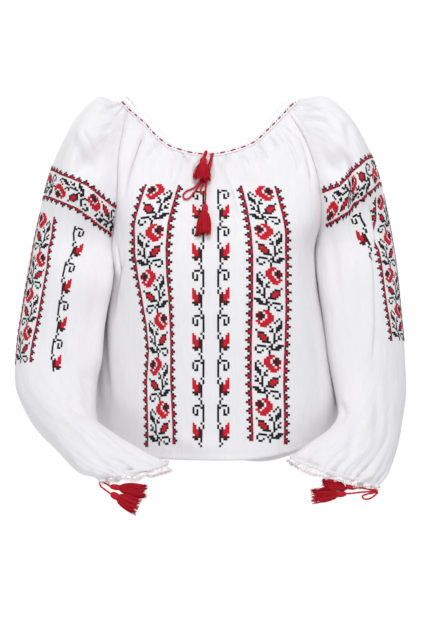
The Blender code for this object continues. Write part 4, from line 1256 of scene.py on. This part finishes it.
for panel, said in sleeveWork.items():
    first, last = int(math.ceil(said["rows"][0][0])), int(math.floor(said["rows"][0][-1]))
    (low, top), (lowEnd, topEnd) = said["from"], said["to"]
    cells = []
    for row, k, letter in bandCells(first, last, 0):
        t = k / wideBand
        if low + (top - low) * t < row < lowEnd + (topEnd - lowEnd) * t:
            cells.append((row, k, letter))
    stitched[panel].append(embroider(panel + "_band_across", panel, cells, acrossPlace(said)))
    for part in ("band", "vine", "backVine"):
        lay = said[part]
        cells = bandCells(0, 80, 0) if part == "band" else vineCells(3, 80, lay["mirror"])
        place = alongPlace(panel, lay, wideBand if part == "band" else vineWide)
        if "fold" in lay:
            # only what shows before the cloth folds over it
            c, v = place(np.array([cell[0] for cell in cells]), np.array([cell[1] for cell in cells]) + 1)
            seen = (c - 0.5) * rowLength(panel, v) < np.interp(v, *lay["fold"])
            cells = [cell for cell, keep in zip(cells, seen) if keep]
        stitched[panel].append(embroider(panel + "_" + part, panel, cells, place))
print("stitches ready", sum(len(o.data.polygons) for group in stitched.values() for o in group))


# heights of the neckband, the cuff bands and their lace
sizes = {"band": 0.008, "neckLace": 0.011, "cuffBand": 0.005, "cuffLace": 0.009}


def closed(ring):
    return np.concatenate([ring, ring[:1]], axis=0)


ringOf = {name: panels[name][0][0] for name in panels}
neckRing = np.vstack([ringOf["front"], ringOf["sleeve_right"][1:], ringOf["back"][::-1][1:],
                      ringOf["sleeve_left"][::-1][1:-1]])
inward = unit(np.column_stack([-neckRing[:, 0], -neckRing[:, 1], np.zeros(len(neckRing))]))
lean = 0.30 + 0.55 * np.clip(np.abs(neckRing[:, 0]) / 0.138, 0, 1) ** 2
neckUp = unit(inward * lean[:, None] + np.array([0, 0, 1.0]))
neckTop = neckRing + neckUp * sizes["band"]
laceUp = unit(inward * (lean * 0.8)[:, None] + np.array([0, 0, 1.0]))


def ringGrid(low, way, heights):
    # rows from the top one down
    return np.array([closed(low + way * h) for h in heights[::-1]])


def ringShell(name, grid, sign, wall, material, bulge):
    normal = normalsOf(grid, True) * sign
    grid = grid + normal * bulge[..., None]
    normal = normalsOf(grid, True) * sign
    normal[:, -1] = normal[:, 0]
    across, down = acrossOf(grid), downOf(grid)
    return grid, normal, shellOf(name, grid, normal, across, down, sign, wall, material, wrap=True)


heights = np.linspace(0, sizes["band"], 9)
bandGrid = ringGrid(neckRing, neckUp, heights)
s = acrossOf(bandGrid)
rise = np.linspace(1, 0, 9)[:, None]
puckers = 0.00045 * waves(s / 0.0045, s * 0 + rise * 1.3, 81) * smooth((1 - rise) / 0.5)
roll = 0.00030 * np.sin(math.pi * rise) - 0.00055 * np.exp(-((rise - 0.52) / 0.07) ** 2)
bandGrid, bandNormal, neckbandPiece = ringShell("neckband_cloth", bandGrid, 1, walls["neckband"],
                                                bandMaterial, puckers + roll)


def spaced(line, normal, pitch, start=0.0):
    # points at equal steps along a closed line, with their way on and their normal
    s = lengths(line)
    count = int(round(s[-1] / pitch))
    where = (np.arange(count) + start) * s[-1] / count
    points = at(line, where)
    ahead = at(line, np.minimum(where + 0.0006, s[-1])) - at(line, np.maximum(where - 0.0006, 0))
    ups = np.stack([np.interp(where, s, normal[:, k]) for k in range(3)], 1)
    return points, unit(ahead), unit(ups)


def barPiece():
    # a plump stitch of thread lying along x, 1 long, 1 wide and 1 high
    points, faces = [], []
    rings = [(-0.5, 0.25), (-0.40, 0.8), (-0.15, 1.0), (0.15, 1.0), (0.40, 0.8), (0.5, 0.25)]
    for t, full in rings:
        for k in range(5):
            turn = math.pi * k / 4
            points.append((t, -math.cos(turn) / 2 * full, math.sin(turn) * full))
    for i in range(len(rings) - 1):
        for k in range(4):
            a = i * 5 + k
            faces.append((a, a + 5, a + 6, a + 1))
    return points, faces


bar = meshOf("dash_piece", *barPiece(), flossMaterial)
# the running stitch round the neckband: a dash and a dot to each pitch
running = {"pitch": 0.0172, "lift": 0.0005, "dash": (0.0096, 0.0030, 0.0013), "dot": (0.0024, 0.0020, 0.0010)}


def runStitches(name, start, size, uneven):
    points, ahead, ups = spaced(bandGrid[4], bandNormal[4], running["pitch"], start)
    shade = np.random.default_rng(5).uniform(1 - uneven, 1 + uneven, (len(points), 1))
    return copied(name, bar, points + ups * running["lift"], ups, ahead,
                  np.ones((len(points), 1)) * np.array([size]), flossMaterial,
                  np.array([colours["dash"]]) * shade)


dashes = runStitches("neck_dashes", 0.25, running["dash"], 0.15)
dots = runStitches("neck_dots", 0.75, running["dot"], 0)


def tubeFaces(first, rings, sides):
    # quads round a tube whose rings of points follow each other
    faces = []
    for i in range(rings - 1):
        for k in range(sides):
            a, b = first + i * sides + k, first + i * sides + (k + 1) % sides
            faces.append((a, b, b + sides, a + sides))
    return faces


def threadArc(arcs, radius, sides=3):
    # thin threads along polylines in x, y
    points, faces = [], []
    for line in arcs:
        line = np.array(line, float)
        ahead = unit(np.gradient(line, axis=0))
        first = len(points)
        for p, way in zip(line, ahead):
            for k in range(sides):
                turn = 2 * math.pi * k / sides + 0.5
                side = np.array([-way[1], way[0]]) * math.cos(turn) * radius
                points.append((p[0] + side[0], p[1] + side[1], math.sin(turn) * radius * 0.8))
        faces += tubeFaces(first, len(line), sides)
    return points, faces


def arch(wide, high, foot, steps):
    turn = np.linspace(0, math.pi, steps)
    return [(-math.cos(a) * wide / 2, foot + math.sin(a) * high) for a in turn]


# one scallop of the edging, 1 wide: an outer arch, an inner arch and two spokes
scallopArcs = [arch(0.98, 0.78, 0, 8), arch(0.46, 0.40, 0.05, 5)]
scallopArcs += [[(-0.12, 0.42), (-0.20, 0.74)], [(0.12, 0.42), (0.20, 0.74)]]
scallop = meshOf("scallop_piece", *threadArc(scallopArcs, 0.075), laceMaterial)
picot = meshOf("picot_piece", *threadArc([arch(0.9, 0.7, 0, 5)], 0.16), laceMaterial)


def edging(name, grid, normal, topRow, pitch, high, material):
    # scallops and picots standing on the free edge of a ring of lace
    line, up = grid[topRow], normal[topRow]
    other = grid[topRow + (1 if topRow == 0 else -1)]

    def outward(points):
        near = np.array([np.argmin(np.sum((line - p) ** 2, axis=1)) for p in points])
        return unit(line[near] - other[near])

    points, ahead = spaced(line, up, pitch)[:2]
    out = outward(points)
    lean = np.random.default_rng(7).uniform(-0.10, 0.10, (len(points), 1))
    ahead = unit(ahead + out * lean)
    size = np.ones((len(points), 1)) * np.array([[pitch * 1.04, high, pitch]])
    first = copied(name + "_scallops", scallop, points, unit(np.cross(ahead, out)), ahead, size, material)
    small, way = spaced(line, up, pitch / 2, 0.5)[:2]
    out = outward(small)
    lift = np.where(np.arange(len(small)) % 2, 0.10, 0.72)[:, None]
    size = np.ones((len(small), 1)) * np.array([[pitch * 0.30, high * 0.30, pitch * 0.30]])
    second = copied(name + "_picots", picot, small + out * high * lift, unit(np.cross(way, out)), way, size,
                    material)
    return [first, second]


# the plain strip under the scallops
ground = 0.0046
laceHeights = np.linspace(0, ground, 4)
laceGrid = ringGrid(neckTop, laceUp, laceHeights)
s = acrossOf(laceGrid)
ripple = 0.0006 * waves(s / 0.011, s * 0, 91) * np.linspace(1, 0, 4)[:, None]
laceGrid, laceNormal, neckLacePiece = ringShell("neck_lace_cloth", laceGrid, 1, walls["lace"],
                                                 laceMaterial, ripple)
neckEdging = edging("neck_lace", laceGrid, laceNormal, 0, 0.0073, sizes["neckLace"] - ground, laceMaterial)

cuffs = {"left": {"panel": "sleeve_left", "sign": -1, "ruffles": 11, "drop": 1.30, "seed": 11},
         "right": {"panel": "sleeve_right", "sign": 1, "ruffles": 12, "drop": 0.95, "seed": 12}}
cuffPieces = {}
for side, said in cuffs.items():
    end = sleeves[said["panel"]][-1][:-1]
    middle = end.mean(axis=0)
    out = unit(end - middle)
    first = end + np.array([0, 0, -sizes["cuffBand"]]) - out * 0.0008
    drop = said["drop"] + 0.50 * waves(lengths(end) / 0.016, end[:, 0] * 0, said["seed"] + 3)
    last = first + np.array([0, 0, -sizes["cuffLace"] + 0.002]) * drop[:, None] + out * 0.0035
    t = np.linspace(0, 1, 6)[:, None, None]
    grid = np.array([closed(row) for row in end + (first - end) * t])
    s = acrossOf(grid)
    pinch = np.linspace(0, 1, 6)[:, None]
    bulge = 0.0006 * np.sin(math.pi * pinch) + 0.0004 * waves(s / 0.004, s * 0 + pinch, said["seed"])
    bandPiece = ringShell("cuff_band_" + side + "_cloth", grid, said["sign"], walls["cuffBand"],
                          bandMaterial, bulge)[2]
    t = np.linspace(0, 1, 7)[:, None, None]
    grid = np.array([closed(row) for row in first + (last - first) * t])
    share = np.linspace(0, 1, grid.shape[1])[None, :]
    fall = np.linspace(0, 1, 7)[:, None]
    turns = 2 * math.pi * said["ruffles"] * share + 1.3 * np.sin(2 * math.pi * 3 * share + said["seed"])
    ruffle = 0.0062 * fall ** 1.1 * np.sin(turns) * (0.75 + 0.35 * np.sin(2 * math.pi * 5 * share + 1))
    grid, normal, lacePiece = ringShell("cuff_lace_" + side + "_cloth", grid, said["sign"], walls["lace"],
                                        cuffLaceMaterial, ruffle)
    trims = edging("cuff_lace_" + side, grid, normal, len(grid) - 1, 0.0058, 0.0044, laceTrimAndShadeMaterial)
    cuffPieces[side] = (bandPiece, lacePiece, trims)
print("bands and lace ready")


# cords on the same routes as the CAD, then their tassels; lay is the length of one twist
cordSizes = {"diameter": 0.0026, "step": 0.0010, "lay": 0.0075}

neckRoutes = {
    "neck_cord_long": [
        (0.0066, -0.0885, 0.0022), (0.0068, -0.0945, 0.0032), (0.0050, -0.1070, 0.0036),
        (0.0020, -0.1190, 0.0036), (0.0004, -0.1290, 0.0042), (-0.0020, -0.1400, 0.0054),
        (-0.0036, -0.1500, 0.0056), (-0.0046, -0.1620, 0.0036), (-0.0054, -0.1716, 0.0040),
    ],
    "neck_cord_tied": [
        (0.0036, -0.0890, 0.0022), (0.0036, -0.0945, 0.0030), (0.0016, -0.1050, 0.0034),
        (-0.0012, -0.1150, 0.0034), (-0.0050, -0.1238, 0.0036),
    ],
    "neck_cord_short": [
        (-0.0092, -0.1240, 0.0036), (-0.0078, -0.1120, 0.0034), (-0.0048, -0.0990, 0.0036),
        (-0.0030, -0.0905, 0.0050), (-0.0044, -0.0890, 0.0072), (-0.0078, -0.0930, 0.0082),
        (-0.0092, -0.0970, 0.0084),
    ],
    "neck_loop_long": [
        (-0.0116, -0.1280, 0.0030), (-0.0160, -0.1365, 0.0028), (-0.0240, -0.1450, 0.0028),
        (-0.0350, -0.1510, 0.0028), (-0.0392, -0.1570, 0.0028), (-0.0372, -0.1630, 0.0028),
        (-0.0310, -0.1625, 0.0028), (-0.0250, -0.1550, 0.0028), (-0.0190, -0.1460, 0.0028),
        (-0.0118, -0.1362, 0.0028), (-0.0090, -0.1312, 0.0030),
    ],
    "neck_loop_short": [
        (-0.0070, -0.1306, 0.0030), (-0.0085, -0.1390, 0.0026), (-0.0120, -0.1460, 0.0026),
        (-0.0118, -0.1510, 0.0026), (-0.0080, -0.1545, 0.0026), (-0.0052, -0.1500, 0.0024),
        (-0.0046, -0.1400, 0.0024), (-0.0050, -0.1306, 0.0030),
    ],
}
neckKnot = (-0.0072, -0.1272, 0.0036)

# cuff cords: x, y, z
cuffRoutes = {
    "cuff_cord_left": [
        (-0.1420, -0.1840, -0.5960), (-0.1500, -0.1800, -0.5898), (-0.1575, -0.1770, -0.5873),
        (-0.1614, -0.1750, -0.5862), (-0.1600, -0.1795, -0.5925), (-0.1500, -0.1850, -0.5995),
        (-0.1400, -0.1870, -0.6060),
    ],
    "cuff_cord_right": [
        (0.2130, -0.1893, -0.5944), (0.2250, -0.1867, -0.5942), (0.2380, -0.1845, -0.5972),
        (0.2472, -0.1790, -0.5980), (0.2410, -0.1890, -0.5992), (0.2260, -0.1918, -0.5998),
        (0.2110, -0.1920, -0.6015), (0.1975, -0.1915, -0.6025),
    ],
    "cuff_loop_right": [
        (0.2496, -0.1812, -0.5985), (0.2450, -0.1865, -0.6012), (0.2340, -0.1905, -0.6028),
        (0.2262, -0.1918, -0.6055), (0.2288, -0.1918, -0.6100), (0.2372, -0.1902, -0.6095),
        (0.2450, -0.1868, -0.6050), (0.2500, -0.1830, -0.6012),
    ],
}


def onFront(x, z, off):
    # a point off the front cloth, above the place nearest to x, z
    grid, normal = panels["front"][0], fineNormals["front"]
    flat = grid[:, :, [0, 2]].reshape(-1, 2)
    far = np.sum((flat - (x, z)) ** 2, axis=1)
    near = np.argsort(far)[:8]
    weight = 1 / (far[near] + 1e-7)
    weight = weight / weight.sum()
    turn = unit((normal.reshape(-1, 3)[near] * weight[:, None]).sum(axis=0))
    here = (grid.reshape(-1, 3)[near] * weight[:, None]).sum(axis=0)
    point = np.array([x, here[1], z])
    point[1] -= np.dot(point - here, turn) / turn[1]
    return point + turn * off


def smoothRoute(points, step):
    line = along(points, np.linspace(0, len(points) - 1, 30 * len(points)))
    total = lengths(line)[-1]
    return at(line, np.linspace(0, total, max(8, int(round(total / step)) + 1)))


def framesOf(route):
    # a way on and two sides for each point, without sudden turns
    ahead = unit(np.gradient(route, axis=0))
    side = unit(np.cross(ahead[0], (0.3, 1.0, 0.2)))
    sides = []
    for way in ahead:
        side = unit(side - way * np.dot(side, way))
        sides.append(side)
    sides = np.array(sides)
    return ahead, sides, np.cross(ahead, sides)


def twisted(name, route, diameter, lay, material, sides=10):
    # two plies laid together
    ahead, one, two = framesOf(route)
    s = lengths(route)
    points = []
    for i, p in enumerate(route):
        turn0 = 2 * math.pi * s[i] / lay
        for k in range(sides):
            turn = 2 * math.pi * k / sides
            r = diameter / 2 * (0.86 + 0.22 * abs(math.cos(turn - turn0 / 2)))
            if i in (0, len(route) - 1):
                r *= 0.6
            points.append(p + (one[i] * math.cos(turn) + two[i] * math.sin(turn)) * r)
    faces = tubeFaces(0, len(route), sides)
    faces.append(tuple(range(sides))[::-1])
    faces.append(tuple((len(route) - 1) * sides + k for k in range(sides)))
    return meshOf(name, points, faces, material)


tasselWork = {"strands": 120, "neck": 0.27, "thinnest": 0.00045, "thickest": 0.00080, "winding": 0.00042}
headProfile = [(0.0, 0.12), (0.03, 0.26), (0.09, 0.37), (0.18, 0.40), (0.25, 0.36), (0.30, 0.29)]
skirtProfile = [(0.29, 0.36), (0.36, 0.50), (0.60, 0.62), (0.88, 0.70)]


def tasselPiece(name, start, end, wide, thickness, side, head, opens, seed):
    # a head of looped threads, a wound neck and a loose skirt; head is the head's width, and the
    # lower opens is, the earlier the skirt spreads
    rng = np.random.default_rng(seed)
    start, end = np.array(start, float), np.array(end, float)
    axis = unit(end - start)
    long = np.linalg.norm(end - start)
    across = unit(np.asarray(side, float) - axis * np.dot(side, axis))
    third = np.cross(axis, across)
    points, faces = [], []

    def place(t, a, b):
        return start + axis * long * t + across * a * wide / 2 + third * b * thickness / 2

    def tube(line, radius, sides=3, taper=0.7):
        line = np.array(line)
        ahead, one, two = framesOf(line)
        first = len(points)
        for i, p in enumerate(line):
            r = radius * (taper if i in (0, len(line) - 1) else 1)
            for k in range(sides):
                turn = 2 * math.pi * k / sides
                points.append(p + (one[i] * math.cos(turn) + two[i] * math.sin(turn)) * r)
        faces.extend(tubeFaces(first, len(line), sides))

    def turnedBody(profile, ribs, sides=24):
        first = len(points)
        for t, radius in profile:
            for k in range(sides):
                turn = 2 * math.pi * k / sides
                r = radius * (1 + 0.10 * math.cos(ribs * turn))
                points.append(place(t, math.cos(turn) * r, math.sin(turn) * r))
        faces.extend(tubeFaces(first, len(profile), sides))

    turnedBody([(t, r * head) for t, r in headProfile], 12)
    turnedBody([(t, r * head) for t, r in skirtProfile] + [(0.91, 0.1)], 8)
    for turns in range(4):
        loop = []
        for k in range(17):
            turn = 2 * math.pi * k / 16
            loop.append(place(0.265 + 0.022 * turns + 0.010 * k / 16,
                              math.cos(turn) * 0.36 * head, math.sin(turn) * 0.38 * head))
        tube(loop, tasselWork["winding"], 3, 1.0)
    neck = tasselWork["neck"]
    for k in range(tasselWork["strands"]):
        turn = rng.uniform(0, 2 * math.pi)
        full = rng.uniform(0.35, 1.0) ** 0.5
        a1, b1 = math.cos(turn) * full, math.sin(turn) * full
        last = rng.uniform(0.86, 1.02)
        bend = rng.normal(0, 0.09, 2)
        line = []
        for t in (neck, 0.36, 0.50, 0.66, 0.82, 1.0):
            u = (t - neck) / (1 - neck)
            spread = 0.42 * head + (1 - 0.42 * head) * u ** opens
            sway = math.sin(math.pi * u)
            line.append(place(neck + (last - neck) * u,
                              a1 * spread + bend[0] * sway, b1 * spread + bend[1] * sway))
        tube(line, rng.uniform(tasselWork["thinnest"], tasselWork["thickest"]))
    return meshOf(name, points, faces, cordMaterial)


routes = {}
for name, route in neckRoutes.items():
    routes[name] = smoothRoute([onFront(*p) for p in route], cordSizes["step"])
for name, route in cuffRoutes.items():
    routes[name] = smoothRoute(route, cordSizes["step"])
into = np.array(onFront(-0.0090, -0.2215, 0.0080)) - routes["neck_cord_long"][-1]
more = routes["neck_cord_long"][-1] + unit(into) * np.arange(1, 8)[:, None] * cordSizes["step"]
# steps back from a cord's end to where its tassel's head begins
startBack = {"neck_cord_long": 0, "neck_cord_short": 4, "cuff_cord_left": 6, "cuff_cord_right": 5}
hungOn = {name: (routes[name][steps], routes[name][-1 - steps]) for name, steps in startBack.items()}
# the long end runs on into its tassel's head
routes["neck_cord_long"] = np.vstack([routes["neck_cord_long"], more])
cordPieces = {name: twisted(name + "_thread", route, cordSizes["diameter"], cordSizes["lay"], cordMaterial)
              for name, route in routes.items()}

knot = onFront(*neckKnot)


def knotThread(name, middle, size):
    # the cord wound over itself
    turns = np.linspace(0, 2.6 * 2 * math.pi, 70)
    line = [middle + np.array([size[0] * (t / turns[-1] - 0.5) * 1.2 + 0.0008 * math.sin(1.3 * t),
                               -size[1] * math.cos(t), size[2] * math.sin(t)]) for t in turns]
    return twisted(name, np.array(line), 0.0021, cordSizes["lay"], cordMaterial)


knotPiece = knotThread("neck_knot_thread", knot, (0.0048, 0.0015, 0.0022))

# the cord and its end, where the tassel ends, its width and thickness, and the way of its width
tassels = {
    "neck_tassel_upper": ("neck_cord_short", -1, onFront(-0.0112, -0.1366, 0.0110),
                          0.030, 0.010, (1, 0, 0)),
    "neck_tassel_lower": ("neck_cord_long", -1, onFront(-0.0090, -0.2215, 0.0080),
                          0.024, 0.0105, (1, 0, 0)),
    "cuff_tassel_left_a": ("cuff_cord_left", 0, (-0.0915, -0.1880, -0.6000),
                           0.022, 0.012, (0, 0, 1)),
    "cuff_tassel_left_b": ("cuff_cord_left", -1, (-0.1035, -0.1920, -0.6225),
                           0.027, 0.012, (0, 0, 1)),
    "cuff_tassel_right_a": ("cuff_cord_right", 0, (0.1660, -0.1890, -0.5890),
                            0.018, 0.010, (0, 0, 1)),
    "cuff_tassel_right_b": ("cuff_cord_right", -1, (0.1505, -0.1950, -0.6060),
                            0.023, 0.010, (0, 0, 1)),
}
tasselPieces = {}
for k, (name, (cord, which, end, wide, thickness, side)) in enumerate(tassels.items()):
    head, opens = (0.84, 0.80) if name == "neck_tassel_upper" else (0.92, 0.50)
    tasselPieces[name] = tasselPiece(name + "_thread", hungOn[cord][which], end, wide, thickness, side,
                                     head, opens, 30 + k)
print("cords ready")


def areaLight(name, place, aim, size, power):
    data = bpy.data.lights.new(name, "AREA")
    data.shape, data.size, data.energy = "SQUARE", size, power
    lamp = bpy.data.objects.new(name, data)
    lamp.location = place
    way = Vector(aim) - Vector(place)
    lamp.rotation_euler = way.to_track_quat("-Z", "Y").to_euler()
    scene.collection.objects.link(lamp)


studio = {"floor": -1.35, "half": 2.2, "world": 0.60}
half = studio["half"]
floorMaterial, tree, shade = treeOf("pale floor")
fill(shade, {"Base Color": (0.86, 0.86, 0.87, 1), "Roughness": 0.9})
corners = [(-half, -half), (half, -half), (half, half), (-half, half)]
floor = meshOf("floor", [(x, y, studio["floor"]) for x, y in corners], [(0, 1, 2, 3)], floorMaterial)
world = bpy.data.worlds.new("studio")
world.use_nodes = True
tree = world.node_tree
soft = tree.nodes["Background"]
fill(soft, {"Color": (1.0, 1.0, 1.0, 1), "Strength": studio["world"]})
plain = addNode(tree, "ShaderNodeBackground", in_Color=(1.0, 1.0, 1.0, 1))
seen, mixed = addNode(tree, "ShaderNodeLightPath"), addNode(tree, "ShaderNodeMixShader")
tree.links.new(seen.outputs["Is Camera Ray"], mixed.inputs[0])
tree.links.new(soft.outputs[0], mixed.inputs[1])
tree.links.new(plain.outputs[0], mixed.inputs[2])
tree.links.new(mixed.outputs[0], tree.nodes["World Output"].inputs["Surface"])
scene.world = world
scene.view_settings.view_transform = "Standard"
areaLight("key", (0.15, -1.9, 2.0), (0, 0, -0.3), 0.8, 38)
areaLight("fill", (0.9, -2.2, -0.5), (0, 0, -0.35), 1.4, 4.5)
areaLight("left fill", (-1.9, -1.5, -1.0), (-0.1, 0, -0.45), 1.2, 8)
areaLight("back", (-1.0, 2.0, 1.1), (0, 0, -0.35), 0.8, 20)


def standFor(piece, node=None):
    # every piece rides on the one body; node is the CAD node it takes the place of
    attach(piece, "root")
    if node:
        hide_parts(node)


for name, piece in shells.items():
    standFor(piece, name)
for group in (*stitched.values(), (dashes, dots)):
    for piece in group:
        standFor(piece)
standFor(neckbandPiece, "neckband")
standFor(neckLacePiece, "neck_lace")
for piece in neckEdging:
    standFor(piece)
for side, (bandPiece, lacePiece, trims) in cuffPieces.items():
    standFor(bandPiece, "cuff_band_" + side)
    standFor(lacePiece, "cuff_lace_" + side)
    for piece in trims:
        standFor(piece)
for name, piece in {**cordPieces, "neck_knot": knotPiece, **tasselPieces}.items():
    standFor(piece, name)

# cords: what the far end is, what is on them and how they lie
cordSays = {
    "neck_cord_long": ("fitting", ["neck_tassel_lower"], "hanging"),
    "neck_cord_short": ("fitting", ["neck_tassel_upper"], "hanging"),
    "neck_cord_tied": ("object", [], "hanging"),
    "neck_loop_long": ("object", [], "loose"),
    "neck_loop_short": ("object", [], "loose"),
    "cuff_cord_left": ("fitting", ["cuff_tassel_left_a", "cuff_tassel_left_b"], "loose"),
    "cuff_cord_right": ("fitting", ["cuff_tassel_right_a", "cuff_tassel_right_b"], "loose"),
    "cuff_loop_right": ("object", [], "loose"),
}
for name, (farEnd, on, lay) in cordSays.items():
    route = routes[name]


for side in ("left", "right"):
    name = "sleeve_" + side

for piece in (stitch, bar, scallop, picot):
    bpy.data.objects.remove(piece, do_unlink=True)
